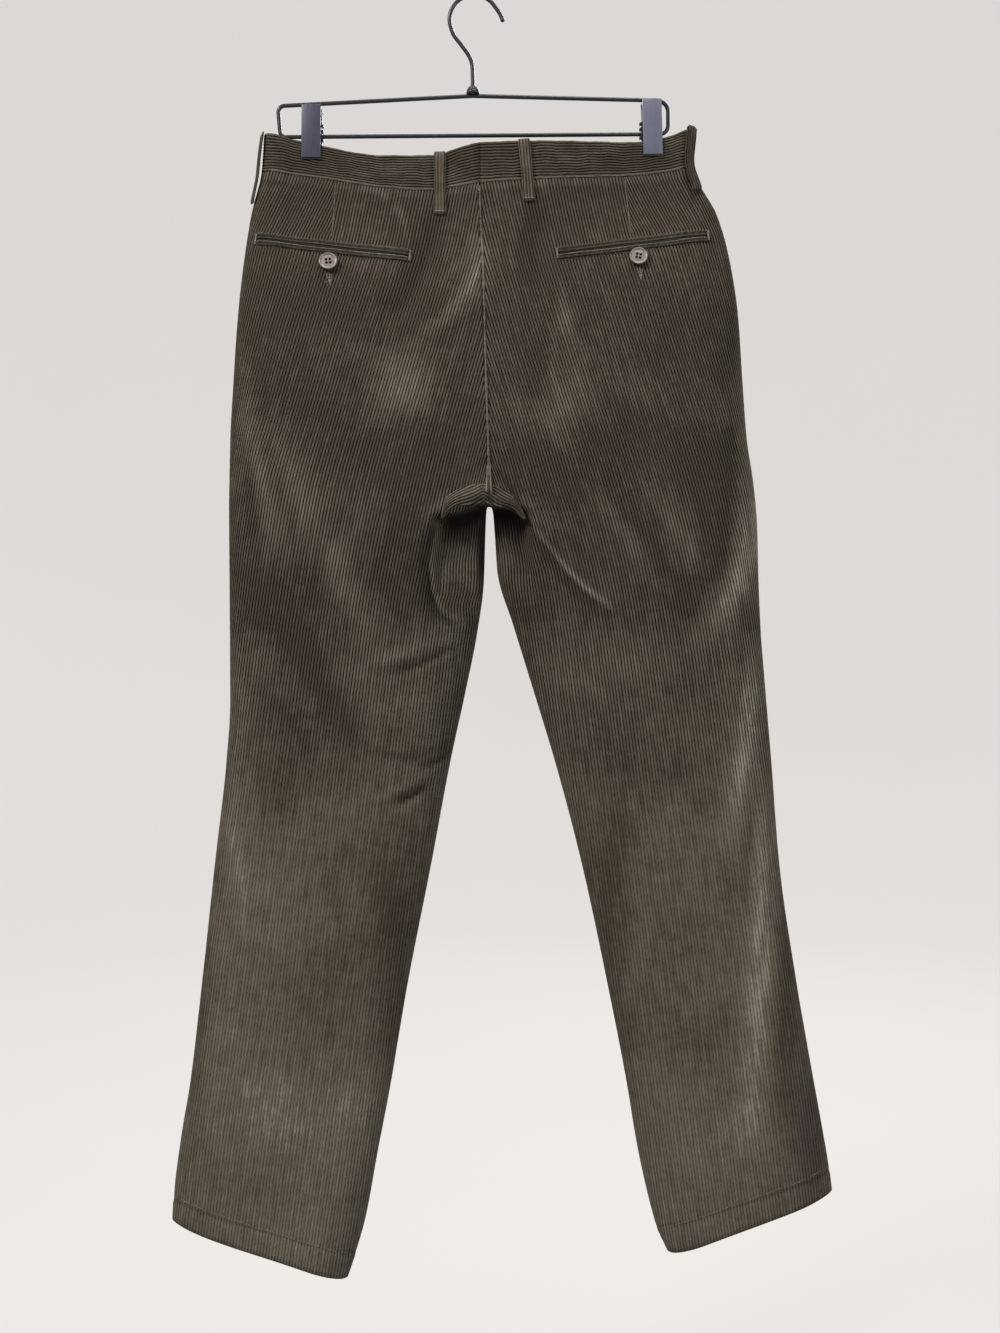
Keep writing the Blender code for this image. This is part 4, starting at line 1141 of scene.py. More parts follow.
def bandPiece(side):
    columns = bandColumns(side)
    shares, crown = [0.0], [0.0]
    for n in range(band["wales"]):
        shares += [(n + part) / band["wales"] for part in (0.30, 0.70, 1.0)]
        crown += [1.0, 1.0, 0.0]
    shares, crown = np.array(shares), np.array(crown)
    grid = np.stack([bandColumn(side, face, x, shares) for face, x in columns], axis=1)
    normal = unit(np.cross(np.gradient(grid, axis=0), np.gradient(grid, axis=1)))
    farthest = int(np.argmax(np.abs(grid[5, :, 0] - hang["centreX"])))
    if normal[5, farthest, 0] * outwardOf[side] < 0:
        normal = -normal
    normal[:, :, 2] = 0
    normal[:, 0] = (0, -1, 0)
    normal[:, -1] = (0, 1, 0)
    normal = unit(normal)
    # the edges are thinner and roll inwards
    raised = crown * band["crown"]
    raised[[0, -2, -1]] = (-0.2, 0.1, -0.9)
    wall = np.full(len(shares), band["wall"])
    wall[[-2, -1]] = (1.8, 0.7)
    along = np.linalg.norm(np.diff(grid[6], axis=0), axis=1)
    along = np.concatenate([[0], np.cumsum(along)])
    up = shares[:, None]
    tone = 0.06 + 0.5 * np.exp(-up / 0.05) + 0.25 * np.exp((up - 1) / 0.04)
    tone = tone + 0.10 * np.sin(along * 0.043 + 1)[None] * np.sin(up * 5 + 0.02 * along[None])
    height = np.linalg.norm(grid[-1, 10] - grid[0, 10])
    uv = np.stack(np.broadcast_arrays(up * height, along[None]), axis=2)
    outer = grid + normal * raised[:, None, None]
    inner = grid - normal * wall[:, None, None]
    obj = slabPiece(f"waistband{side.title()}", outer, inner, crown[:, None], tone, uv)
    dress(obj, "corduroy", f"waistband_{side}")
    tall = np.linalg.norm(grid[-1] - grid[0], axis=1)
    area = float(np.sum((tall[1:] + tall[:-1]) / 2 * np.diff(along)))
    return obj, float(along[-1]), float(tall.max()), area


bands = {side: bandPiece(side) for side in sides}
print("waistband made")

# belt loops
loop = {"width": 10.6, "thick": 1.2, "below": 19.0, "bow": 1.5, "overTop": 0.9, "ribs": 2.6}
# name, face, x at its top and foot, how far it reaches below the waist seam
flatLoops = (
    ("back_left", "back", -31, -31, 23.5), ("back_right", "back", 46, 51, 20.5),
    ("front_left", "front", -92, -94, 19.0), ("front_right", "front", 104, 106, 19.0),
)
sideLoops = {
    "left": {"turn": 20, "longer": 10, "bow": 2.2, "smooth": False},
    "right": {"turn": 62, "longer": 3, "bow": 0.5, "smooth": True},
}


def loopSection(width, thick):
    # three ribs between two folded edges, as (across, out, wale) round the section
    half = width / 2
    edge = [(half, 0, 0.2), (half + 0.1, thick * 0.6, 0.9), (half - 0.5, thick + 0.35, 1.0)]
    edge.append((half - 1.2, thick - 0.1, 0.1))
    shape = [(-a, out, wale) for a, out, wale in edge]
    for middle in (-half + loop["ribs"], 0.0, half - loop["ribs"]):
        shape += [(middle - 0.95, thick + 0.45, 1.0), (middle + 0.95, thick + 0.45, 1.0)]
        shape += [(middle + 1.5, thick - 0.15, 0.0)] if middle < half - 3 else []
    return shape + edge[::-1]


def loopPiece(name, path, normal, base=0.16, flare=1.0):
    # flare is how much the loop thickens where it is sewn down
    shape = loopSection(loop["width"], loop["thick"])
    along = np.linspace(0, 1, len(path))
    size = np.ones((len(path), 2))
    size[:, 0] = 1 + 0.03 * np.sin(along * 9)
    size[:, 1] = 1 + 0.55 * flare * bell(1 - along, 0.07) + 0.25 * flare * bell(along, 0.06)
    size[-1] = (0.94, 0.7)
    size[0] = (0.95, 0.8) if flare == 1 else (0.6, 0.6)
    part = sweep(path, normal, [(a, b) for a, b, _ in shape], size)
    wale = np.tile([w for _, _, w in shape], len(path)) * (0.84 if flare < 1 else 1)
    # painted highlights towards both ends of the loop
    tone = base + 0.30 * bell(1 - along, 0.08) + 0.2 * bell(along, 0.1)
    obj = joined(name, [part], corduroy, [wale], [np.repeat(tone, len(shape))])
    return obj, float(np.sum(np.linalg.norm(np.diff(path, axis=0), axis=1)))


loopPieces = []
tacks = []
for name, face, topX, footX, below in flatLoops:
    top = float(bandTop(face, topX)) + loop["overTop"]
    foot = float(waistSeam(face, footX)) - below
    share = np.linspace(0, 1, 24)
    bow = 0.75 + loop["bow"] * np.sin(math.pi * share) ** 0.6
    path, normal = onCloth(face, topX + (footX - topX) * share, top + (foot - top) * share, bow)
    normal = unit(normal + normal.mean(axis=0))
    obj, length = loopPiece(f"beltLoop{name.title().replace('_', '')}", path, normal)
    dress(obj, "corduroy", f"belt_loop_{name}")
    loopPieces.append((obj, length))
    line = [(footX + a, foot + 2.6) for a in (-4.6, 4.6)]
    tacks += stitches(face, line, 1.15, 1.0, 1.0, 0.35, bow[-3] + 1.95, math.pi / 2, 0.1, 5)

# the side loops lie round the edge, turned a little towards the back
for legSide, side in sideLoops.items():
    outward = outwardOf[legSide]
    _, seamZ, topZ = waistEnd(legSide)
    top, foot = topZ + loop["overTop"], seamZ - loop["below"] - side["longer"]
    share = np.linspace(0, 1, 26)
    z = top + (foot - top) * share
    edge = tableAt(outseam[legSide], z)
    if side["smooth"]:
        edge = np.convolve(np.pad(edge, 5, "edge"), np.ones(11) / 11, "valid") + 0.8
    reach, deep = tableAt(outerRound, z), 9.5 + 3.0 * share
    slope = math.radians(side["turn"])
    around = np.arctan(math.tan(slope) * deep / reach)
    lift = 1.3 + side["bow"] * np.sin(math.pi * share) ** 0.8
    x = edge - outward * reach * (1 - np.cos(around)) + outward * lift * math.cos(slope)
    y = -deep * np.sin(around) - lift * math.sin(slope)
    facing = np.tile((outward * math.cos(slope), -math.sin(slope), 0), (len(share), 1))
    name = f"beltLoopSide{legSide.title()}"
    obj, length = loopPiece(name, np.stack([x, y, z], axis=1), facing, 0.0, 0.2)
    dress(obj, "corduroy", f"belt_loop_side_{legSide}")
    loopPieces.append((obj, length))
print("belt loops made")

# pocket welts: each has its (across, out) section, then the wale and tone of its points
welts = {
    "upper": {
        "way": 1, "sag": 1.0,
        "section": (
            (-2.25, 0), (-2.2, 0.81), (-1.5, 1.4175), (-0.5, 0.7425), (0.6, 1.2825), (1.75, 1.35),
            (2.35, 0.675), (2.3, 0),
        ),
        "wale": (0.4, 0.95, 0.78, 0.6, 0.66, 0.74, 0.6, 0.2),
        "tone": (0.4, 0.7, 0.2, 0.05, 0.1, 0.15, 0.1, 0.0),
    },
    "lower": {
        "way": -1, "sag": -0.4,
        "section": (
            (-2.3, 0), (-2.35, 0.575), (-1.75, 1.15), (-0.6, 1.0925), (0.5, 0.6325), (1.5, 1.2075),
            (2.2, 0.69), (2.25, 0),
        ),
        "wale": (0.2, 0.6, 0.74, 0.68, 0.58, 0.7, 1, 0.4),
        "tone": (0.0, 0.1, 0.12, 0.1, 0.05, 0.3, 0.95, 0.6),  # the lip beside the slit is rubbed
    },
}
weltPieces = {side: [] for side in sides}
pocketThreads, paleTicks = [], []


def weltPiece(side, name, start, end, up):
    welt = welts[name]
    way = welt["way"]
    share = np.linspace(0, 1, 46)
    sag = 0.5 * np.sin(share * math.pi) * welt["sag"] + 0.25 * np.sin(share * 17 + way)
    shift = (pocketCut["slit"] + pocketCut["welt"]) / 2 + 0.15
    line = start + (end - start) * share[:, None] + up * (way * shift + sag[:, None] * 0.6)
    path, normal = surfaceLine("back", line, 0.55, 3.0)
    size = np.ones((len(path), 2))
    size[:, 1] += np.random.default_rng(11 + way).normal(0, 0.05, len(path))
    size[[0, -1]] *= 0.85
    part = sweep(path, normal, welt["section"], size)
    wale, tone = (np.tile(welt[key], len(path)) for key in ("wale", "tone"))
    obj = joined(f"welt{name.title()}{side.title()}", [part], corduroy, [wale], [tone])
    return dress(obj, "corduroy", f"welt_{name}_{side}")


for legSide in sides:
    start, end = (np.array(p, float) for p in pockets[legSide])
    run = (end - start) / np.linalg.norm(end - start)
    up = np.array([-run[1], run[0]])
    for name, welt in welts.items():
        way = welt["way"]
        weltPieces[legSide].append(weltPiece(legSide, name, start, end, up))
        edge = [start + up * way * 5.9, end + up * way * 5.9]
        slant = math.pi / 2 - 0.2
        paleTicks += stitches("back", edge, 2.85, 2.2, 0.75, 0.45, 0.35, slant, 0.25, 21 + way)
    for point, way in ((start, -1), (end, 1)):
        tack = [point + run * way * 0.3 + up * a for a in (-4.6, 4.6)]
        pocketThreads += stitches("back", tack, 1.05, 1.7, 0.9, 0.45, 1.5, math.pi / 2, 0.12, 31)
    # the pocket's opening: a near-black strip of painted shade between the welts
    points, normal = surfaceLine("back", [start + run * 1.5, end - run * 1.5], 0.1, 4.0)
    slit = sweep(points, normal, [(-1.3, 0), (-1.2, 0.5), (1.2, 0.5), (1.3, 0)])
    dress(joined(f"slit{legSide.title()}", [slit], shadeCloth), "corduroy")
print("pockets made")


# seams and stitching
def centreSeam(top):
    heights = np.arange(top, -463, -4.0)
    return [(float(tableAt(innerEdge["left"], z)), float(z)) for z in heights]


def hemLine(side):
    # the line of the hem's stitches, in from the panel's two edges
    innerZ, outerZ = (z + hang["hemDepth"] for z in rowEnds[side][-1])
    innerX = float(tableAt(innerEdge[side], innerZ))
    outerX = float(tableAt(outseam[side], outerZ))
    wide = abs(innerX - outerX)
    inward = -outwardOf[side]
    line = []
    for t in np.linspace(0, 1, 24):
        x = outerX + inward * 8 + (innerX - outerX - inward * 14) * t
        line.append((x, outerZ + (innerZ - outerZ) * (8 + (wide - 14) * t) / wide))
    return line


frays, threads, edges = [], [], []
middle = centreSeam(-181)
frays.append(ridge("back", middle, 2.3, 0.75, 0.0, 3.0, 0.25, 4))
frays += stitches("back", middle, 2.0, 1.7, 0.8, 0.7, 0.35, 0.75, 0.25, 41)
frays += stitches("back", middle, 3.1, 1.9, 0.7, 0.6, 0.45, -0.8, 0.3, 42)
frays.append(ridge("front", centreSeam(-193), 1.4, 0.6, -0.3, 4.0, 0.15, 4))
for legSide in sides:
    dart = darts[legSide]
    line = np.linspace(dart["top"], dart["tip"], 9)
    frays.append(ridge("back", line, 1.0, 0.55, -0.2, 2.5, 0.3, 6))
    frays += stitches("back", line, 2.3, 1.3, 0.55, 0.55, 0.2, 0.4, 0.15, 43)
    for face in ("back", "front"):
        # the band's lower edge stands a little proud over the waist seam
        columns = [x for f, x in bandColumns(legSide) if f == face]
        columns = [x for x in columns if abs(x - waistEnd(legSide)[0]) > 7]
        line = [(x, float(waistSeam(face, x)) + 0.4) for x in columns]
        edges.append(ridge(face, line, 1.5, 0.9, 0.25, 3.5, 0.12, 7))
        threads += stitches(face, hemLine(legSide), 3.3, 2.3, 0.7, 0.45, 0.15, 0.0, 0.12, 51)
# buttonhole tacks below the pocket buttons
buttons = {"left": (-133, -253), "right": (151, -248.5)}
for legSide, (x, z) in buttons.items():
    for way in (-1, 1):
        line = [(x + 1.0 + way * 2.5, z - 10.5), (x + 2.0, z - 20.5)]
        pocketThreads += stitches("back", line, 2.3, 2.5, 0.6, 0.5, 0.5, 0.0, 0.1, 61)
    line = [(x + 1.2, z - 9), (x + 2.0, z - 18)]
    pocketThreads += stitches("back", line, 1.5, 1.6, 1.2, 0.45, 0.4, math.pi / 2, 0.15, 62)
    line = [(x - 3, z - 7), (x + 1, z - 26)]
    paleTicks += stitches("back", line, 3.2, 2.4, 0.5, 0.4, 0.45, 0.1, 0.3, 63)


def lipBulge(down):
    return 6.2 * np.sin(math.pi * (0.05 + 0.80 * down))


def rollPiece():
    # the bulk of the felled seat seam where it ends at the crotch
    heights = (-428, -440, -450, -458, -466)
    line = [(float(tableAt(innerEdge["left"], min(z, -440))), float(z)) for z in heights]
    points, normal = surfaceLine("back", line, 0.0, 4.0)
    low = points[-1] + np.array([(0.3, 2.5, -5.5), (0.5, 7.0, -10.0)])
    points = np.concatenate([points, low])
    down = np.clip((-456 - points[:, 2]) / 20, 0, 1)
    points[:, 1] -= lipBulge(down) * ease((-449 - points[:, 2]) / 8)
    normal = np.concatenate([normal, np.tile(normal[-1], (2, 1))])
    size = np.linspace((0.35, 0.2), (1.0, 1.0), len(points))
    size[-1] = (0.7, 0.5)
    side = ((4.2, -1.2), (3.4, 0.9), (1.9, 1.6), (0.7, 1.2))
    section = [(-a, b) for a, b in side] + [(0, 1.9)] + list(side[::-1]) + [(0, -2.2)]
    wale = np.tile([0.2, 1, 1, 0.1, 1, 0.1, 1, 1, 0.2, 0], len(points))
    part = sweep(points, normal, section, size)
    return joined("seatSeamRoll", [part], corduroy, [wale], [np.full(len(wale), 0.5)])


seatLip = {
    "wales": 6.5,
    "over": ((-30, -487), (-24.5, -468), (-10, -460), (5.6, -456), (26, -460), (39, -468.5), (48, -487)),
    "under": ((-29, -488.5), (-21, -480), (-8, -477.5), (8, -476.5), (21, -478), (36, -481), (47, -489)),
}


def lipPiece():
    # the gathered lip of the seat: a crescent of wales that bulges over the gap and tucks under
    over = np.array(smoothPath([(x, 0, z) for x, z in seatLip["over"]], 9))
    under = np.array(smoothPath([(x, 0, z) for x, z in seatLip["under"]], 9))
    count, rows = len(over), 50
    down = np.linspace(0, 1, rows)[None]
    along = np.linspace(0, 1, count)[:, None]
    x = over[:, :1] * (1 - down) + under[:, :1] * down
    z = over[:, 2:] * (1 - down) + under[:, 2:] * down + 0.5 * np.sin(along * 23 + down * 2)
    # the panels' own height is read no lower than their lip
    drop = np.where(x < 13, lipDrop("left", np.abs(13 - x)), lipDrop("right", np.abs(13 - x)))
    held = np.maximum(z, hang["lipZ"] - drop + 1.5)
    cloth, _ = onCloth("back", x.reshape(-1), held.reshape(-1), np.zeros(x.size))
    tall = np.linalg.norm(over - under, axis=1)[:, None]
    bent = 2.6 * np.exp(-np.abs(along - 0.52) / 0.14)  # the wales turn up towards the seam
    crown = np.abs(np.sin(math.pi * (seatLip["wales"] * down + bent))) ** 0.55
    bulge = lipBulge(down) * np.sin(math.pi * (0.05 + 0.90 * along)) ** 0.7
    tuck = 5.0 * np.clip((down - 0.84) / 0.16, 0, 1) ** 2
    rib = 0.85 * crown * np.minimum(1, tall / 12) * np.ones_like(down)
    y = cloth[:, 1].reshape(x.shape) + 0.5 - bulge - rib + tuck
    front = np.stack([x, y, z], axis=2).reshape(-1, 3)
    total = len(front)
    faces = []
    for a in range(count - 1):
        for b in range(rows - 1):
            face = (a * rows + b, (a + 1) * rows + b, (a + 1) * rows + b + 1, a * rows + b + 1)
            faces += [face, tuple(v + total for v in face[::-1])]
    ring = [a * rows for a in range(count)] + [(count - 1) * rows + b for b in range(1, rows)]
    ring += [a * rows + rows - 1 for a in range(count - 2, -1, -1)] + list(range(rows - 2, 0, -1))
    faces += [(w, v, v + total, w + total) for v, w in zip(ring, ring[1:] + ring[:1])]
    points = np.concatenate([front, front + np.array((0, 1.6, 0.4))])
    tone = 0.13 + 0.10 * np.sin(along * 17 + down * 4)
    # a painted highlight along the lip's rolled lower edge
    tone = tone + 0.8 * bell(down - 0.86, 0.05) + 0.12 * bell(along - 0.2, 0.15)
    wale, tone = (np.tile(data.reshape(-1), 2) for data in (crown, tone))
    return joined("seatLip", [(points, outwards(points, faces))], corduroy, [wale], [tone])


seatRoll = dress(rollPiece(), "corduroy")
seatFold = dress(lipPiece(), "corduroy")
frayObject = dress(joined("seamFrays", frays, frayedEdge), "corduroy")
edgeObject = dress(joined("bandEdge", edges, rolledEdge), "corduroy")
threadObject = dress(joined("hemThreads", threads, oliveThread), "corduroy")
tackObject = dress(joined("loopTacks", tacks, paleThread), "corduroy")
pocketObject = dress(joined("pocketThreads", pocketThreads, paleThread), "corduroy")
tickObject = dress(joined("waleEnds", paleTicks, frayedEdge), "corduroy")
print("seams and stitches made")


# pieces made with modelling tools
def only(obj):
    bpy.ops.object.select_all(action="DESELECT")
    obj.select_set(True)
    bpy.context.view_layer.objects.active = obj
    return obj


def applyModifier(obj, kind, **settings):
    only(obj)
    made = obj.modifiers.new("shape", kind)
    for key, value in settings.items():
        setattr(made, key, value)
    bpy.ops.object.modifier_apply(modifier=made.name)


def placed():
    # the primitive just added, with its place, turn and size moved into its mesh
    bpy.ops.object.transform_apply(location=True, rotation=True, scale=True)
    return bpy.context.object


def cylinder(radius, depth, vertices, centre=(0, 0, 0)):
    where = [c * mm for c in centre]
    bpy.ops.mesh.primitive_cylinder_add(
        vertices=vertices, radius=radius * mm, depth=depth * mm, location=where
    )
    return placed()


def torus(radius, thick, centre, segments, turn=0.0):
    bpy.ops.mesh.primitive_torus_add(
        major_segments=segments[0], minor_segments=segments[1], major_radius=radius * mm,
        minor_radius=thick / 2 * mm, location=[c * mm for c in centre], rotation=(0, turn, 0),
    )
    return placed()


def block(size, centre, bevel, segments=3):
    bpy.ops.mesh.primitive_cube_add(size=1, location=[c * mm for c in centre])
    bpy.context.object.scale = [s * mm for s in size]
    obj = placed()
    applyModifier(obj, "BEVEL", width=bevel * mm, segments=segments)
    return obj


def merge(name, objs, material):
    bpy.ops.object.select_all(action="DESELECT")
    for obj in objs:
        obj.select_set(True)
    bpy.context.view_layer.objects.active = objs[0]
    if len(objs) > 1:
        bpy.ops.object.join()
    obj = bpy.context.object
    obj.name = name
    obj.data.materials.clear()
    obj.data.materials.append(material)
    bpy.ops.object.shade_smooth_by_angle(angle=math.radians(38))
    return obj


def selectTop(obj, height):
    # select the faces that lie at this height
    bpy.ops.object.mode_set(mode="EDIT")
    bpy.ops.mesh.select_mode(type="FACE")
    bpy.ops.mesh.select_all(action="DESELECT")
    bpy.ops.object.mode_set(mode="OBJECT")
    for face in obj.data.polygons:
        face.select = abs(face.center.z - height * mm) < 1e-5 and face.normal.z > 0.9
    bpy.ops.object.mode_set(mode="EDIT")


button = {
    "thick": 2.6, "rim": 0.9, "slope": 1.0, "dish": 1.05, "floor": 1.5, "rise": 0.3,
    "hole": 1.35, "fromMiddle": 2.35, "edge": 0.42, "stand": 4.2,
}


def buttonPiece(name, radius, centre, normal, turn):
    # a disc with a raised rim, a dished middle and four holes, on a wound thread shank
    obj = cylinder(radius, button["thick"], 56)
    selectTop(obj, button["thick"] / 2)
    bpy.ops.mesh.inset(thickness=button["rim"] * mm)
    bpy.ops.mesh.inset(thickness=button["slope"] * mm)
    bpy.ops.transform.translate(value=(0, 0, -button["dish"] * mm))
    bpy.ops.mesh.inset(thickness=button["floor"] * mm)
    bpy.ops.transform.translate(value=(0, 0, button["rise"] * mm))
    bpy.ops.object.mode_set(mode="OBJECT")
    sharp = math.radians(28)
    edge = button["edge"] * mm
    applyModifier(obj, "BEVEL", width=edge, segments=3, limit_method="ANGLE", angle_limit=sharp)
    for k in range(4):
        angle = math.radians(45 + 90 * k)
        out = button["fromMiddle"]
        hole = cylinder(button["hole"], 6, 20, (out * math.cos(angle), out * math.sin(angle), 0))
        applyModifier(obj, "BOOLEAN", operation="DIFFERENCE", object=hole, solver="EXACT")
        bpy.data.objects.remove(hole)
    disc = merge(name, [obj], horn)
    shank = cylinder(1.9, 2.4, 20, (0, 0, -2.4))
    applyModifier(shank, "BEVEL", width=0.3 * mm, segments=2)
    # painted shade: a near-black disc behind the holes
    holeShade = cylinder(4.4, 0.5, 28, (0, 0, -1.6))  # the dark seen through the holes
    thread = merge(name + "Thread", [shank, holeShade], shadeCloth)
    normal = Vector(normal)
    facing = normal.to_track_quat("Z", "Y").to_matrix().to_4x4()
    lifted = Matrix.Translation(Vector(centre) * mm + normal * button["stand"] * mm)
    placing = lifted @ facing @ Matrix.Rotation(math.radians(turn), 4, "Z")
    disc.data.transform(placing)
    thread.data.transform(placing)
    dress(thread, "button")
    return disc


for legSide, (x, z) in buttons.items():
    spot, normal = onCloth("back", float(x), float(z))
    turn = 8 if legSide == "left" else -14
    disc = buttonPiece(f"pocketButton{legSide.title()}", 8.2, spot, normal, turn)
    dress(disc, "button", f"pocket_button_{legSide}")
buttonZ = float(waistSeam("front", -9.0) + bandTop("front", -9.0)) / 2
spot, normal = onCloth("front", -9.0, buttonZ)
disc = buttonPiece("waistButton", 8.6, spot - normal * 1.4, normal, 20)
dress(disc, "button", "waist_button")
print("buttons made")

# hanger
# corners: x, z and radius of the frame's bends. stem and tip: x, z of the hook's wire
hanger = {
    "wire": 3.8, "hookRadius": 22.8, "clipWidth": 18.0, "clipThick": 2.4, "pinch": 4.6,
    "corners": (
        (-182.5, -101.5, 6), (-1, -92, 9), (180.5, -96.5, 11), (180.5, -127.5, 8),
        (-180, -130.3, 6),
    ),
    "stem": (
        (-1.0, -89.0), (-1.2, -75.0), (-1.9, -62.5), (-5.2, -54.0), (-12.0, -44.5),
        (-18.5, -36.0),
    ),
    "tip": ((24.0, -15.5), (26.4, -21.0)),
}


def wirePiece(name, points, thick, closed=False):
    curve = bpy.data.curves.new(name, "CURVE")
    curve.dimensions = "3D"
    spline = curve.splines.new("POLY")
    spline.points.add(len(points) - 1)
    for slot, (x, y, z) in zip(spline.points, points):
        slot.co = (x * mm, y * mm, z * mm, 1)
    spline.use_cyclic_u = closed
    curve.bevel_depth = thick / 2 * mm
    curve.bevel_resolution = 4
    curve.use_fill_caps = not closed
    obj = bpy.data.objects.new(name, curve)
    bpy.context.scene.collection.objects.link(obj)
    only(obj)
    bpy.ops.object.convert(target="MESH")
    return merge(name, [bpy.context.object], blackWire)


def bentLoop(corners, steps=12):
    points = []
    for i, (x, z, radius) in enumerate(corners):
        here = np.array((x, z), float)
        before = unit(np.array(corners[i - 1][:2], float) - here)
        after = unit(np.array(corners[(i + 1) % len(corners)][:2], float) - here)
        half = math.acos(np.clip(before @ after, -1, 1)) / 2
        reach = radius / math.tan(half)
        centre = here + unit(before + after) * radius / math.sin(half)
        start, end = here + before * reach - centre, here + after * reach - centre
        for t in np.linspace(0, 1, steps):
            way = unit(start * (1 - t) + end * t) * radius
            points.append((centre[0] + way[0], 0.0, centre[1] + way[1]))
    return points


dress(wirePiece("hangerFrame", bentLoop(hanger["corners"]), hanger["wire"], True), "wire", "hanger_frame")
bend = []
for degrees in range(200, -1, -12):
    x = hanger["hookRadius"] * math.cos(math.radians(degrees))
    z = hanger["hookRadius"] * (math.sin(math.radians(degrees)) - 1) + hanger["wire"] / 2
    if x < 20.5 or z > -12:
        bend.append((x, z))
hookLine = [(x, 0.0, z) for x, z in (*hanger["stem"], *bend, *hanger["tip"])]
hook = wirePiece("hangerHook", smoothPath(hookLine), hanger["wire"])
bpy.ops.mesh.primitive_uv_sphere_add(
    segments=20, ring_count=12, radius=2.1 * mm, location=(26.5 * mm, 0, -21.3 * mm)
)
dress(merge("hangerHook", [hook, placed()], blackWire), "wire", "hanger_hook")

rings = []
for height, radius in ((-89.2, 4.5), (-87.0, 3.9), (-85.3, 2.9)):
    rings.append(torus(radius, 3.4, (-1, 0, height), (36, 12)))
core = cylinder(4.0, 5.4, 32, (-1, 0, -86.9))
applyModifier(core, "BEVEL", width=0.6 * mm, segments=2)
dress(merge("hangerCollar", rings + [core], blackWire), "wire", "hanger_collar")
print("hanger wire made")


def clipPieces(side):
    # two plates that pinch the band, black pads at their feet and a spring between them
    clip = clips[side]
    x, top, bottom = clip["x"], clip["top"], clip["bottom"]
    wide, thick = hanger["clipWidth"], hanger["clipThick"]
    pin = Vector((x, 0, top)) * mm
    lean = Matrix.Rotation(math.radians(clip["lean"]), 4, "Y")
    tilt = Matrix.Translation(pin) @ lean @ Matrix.Translation(-pin)
    low, high = hanger["corners"][4], hanger["corners"][3]
    wireZ = low[1] + (high[1] - low[1]) * (x - low[0]) / (high[0] - low[0])
    for name, way in (("back", -1), ("front", 1)):
        y = way * (hanger["pinch"] + 0.3 + thick / 2)
        plate = block((wide, thick, top - bottom), (x, y, (top + bottom) / 2), 0.7, 3)
        lip = block((wide, 1.0, 1.6), (x, y + way * 0.5, bottom + 1.2), 0.35, 2)
        made = merge(f"clip{side.title()}{name.title()}", [plate, lip], clipMetal[side])
        made.data.transform(tilt)
        dress(made, "clip_plate", f"clip_{side}_{name}")
        pad = block((wide + 0.5, 1.9, 3.4), (x, y - way * 0.85, bottom + 0.4), 0.5, 2)
        cap = block((wide * 0.62, 1.3, 1.2), (x, y - way * 0.5, top + 0.1), 0.3, 2)
        made = merge(f"clipPads{side.title()}{name.title()}", [pad, cap], blackWire)
        made.data.transform(tilt)
        dress(made, "wire")
    quarter = math.radians(90)
    coils = [torus(3.4, 1.5, (x + k * 2.0, 0, wireZ), (28, 10), quarter) for k in range(-2, 3)]
    sleeve = cylinder(2.7, 14, 24)
    axle = Matrix.Translation((x * mm, 0, wireZ * mm)) @ Matrix.Rotation(quarter, 4, "Y")
    sleeve.data.transform(axle)
    # the notched bits that show beside the plate
    inner = 1 if side == "left" else -1
    notches = []
    for height in (-3.5, 4.5, 9.5):
        where = (x + inner * (wide / 2 + 0.4), 0, wireZ + height)
        notches.append(block((3.2, 5.2, 2.4), where, 0.5, 2))
    bar = block((1.6, 3.4, 17), (x + inner * (wide / 2 - 0.6), 0, wireZ + 3), 0.4, 2)
    spring = merge(f"clipSpring{side.title()}", coils + [sleeve] + notches + [bar], blackWire)
    dress(spring, "wire", f"clip_{side}_pivot")


for legSide in sides:
    clipPieces(legSide)
print("clips made")

# fly
fly = {
    "width": 36.0, "length": 165.0, "lift": 1.7, "wales": 13, "crown": 0.5, "wall": 1.3,
}


def flyPiece():
    top = float(waistSeam("front", hang["centreX"])) - 1.0
    down = np.linspace(0, 1, 44)[:, None]
    shares = legCut["shares"]
    across = [np.arange(fly["wales"]) / fly["wales"] + s / fly["wales"] for s in shares]
    across = np.sort(np.concatenate(across + [[1.0]]))
    crown = (np.arange(len(across)) % 3 != 0).astype(float)
    crown[-1] = 0
    z = np.broadcast_to(top - fly["length"] * down, (len(down), len(across)))
    curve = np.maximum(0.0, (down - 0.72) / 0.29) ** 2  # the foot curves in to the seam
    width = fly["width"] * np.sqrt(np.maximum(0.02, 1 - curve))
    seam = tableAt(innerEdge["left"], z) - 0.3
    x = seam - width * (1 - across[None])
    grid, normal = onCloth("front", x, z, np.full(z.shape, fly["lift"]))
    outer = grid + normal * (crown * fly["crown"])[None, :, None]
    inner = grid - normal * fly["wall"]
    obj = slabPiece("flyFlap", outer, inner, crown[None], 0.4, np.stack([x, z], axis=2))
    dress(obj, "corduroy", "fly_flap")
    return obj, float(np.sum((width[1:, 0] + width[:-1, 0]) / 2 * np.diff(-z[:, 0])))


flyObject, flyArea = flyPiece()
print("fly made")

# what was cut flat
sewnOn = {
    "left": [frayObject, threadObject, tackObject, edgeObject, seatRoll, seatFold],
    "right": [pocketObject, tickObject],
}


def declareSheet(obj, wide, long, area=None, sewn=()):
    more = {"area": area * mm * mm} if area else {}
    if sewn:
        more["with_pieces"] = list(sewn)
    wide * mm
    long * mm
    print(obj.name, "cut", round(wide, 1), "x", round(long, 1), "mm")


for (legFace, legSide), (obj, wide, long, area) in legPanels.items():
    sewn = sewnOn[legSide] + weltPieces[legSide] if legFace == "back" else ()
    declareSheet(obj, wide, long, area, sewn)
for legSide, (obj, long, tall, area) in bands.items():
    declareSheet(obj, long, tall, area)
for obj, long in loopPieces:
    declareSheet(obj, loop["width"], long)
declareSheet(flyObject, fly["width"], fly["length"], flyArea)

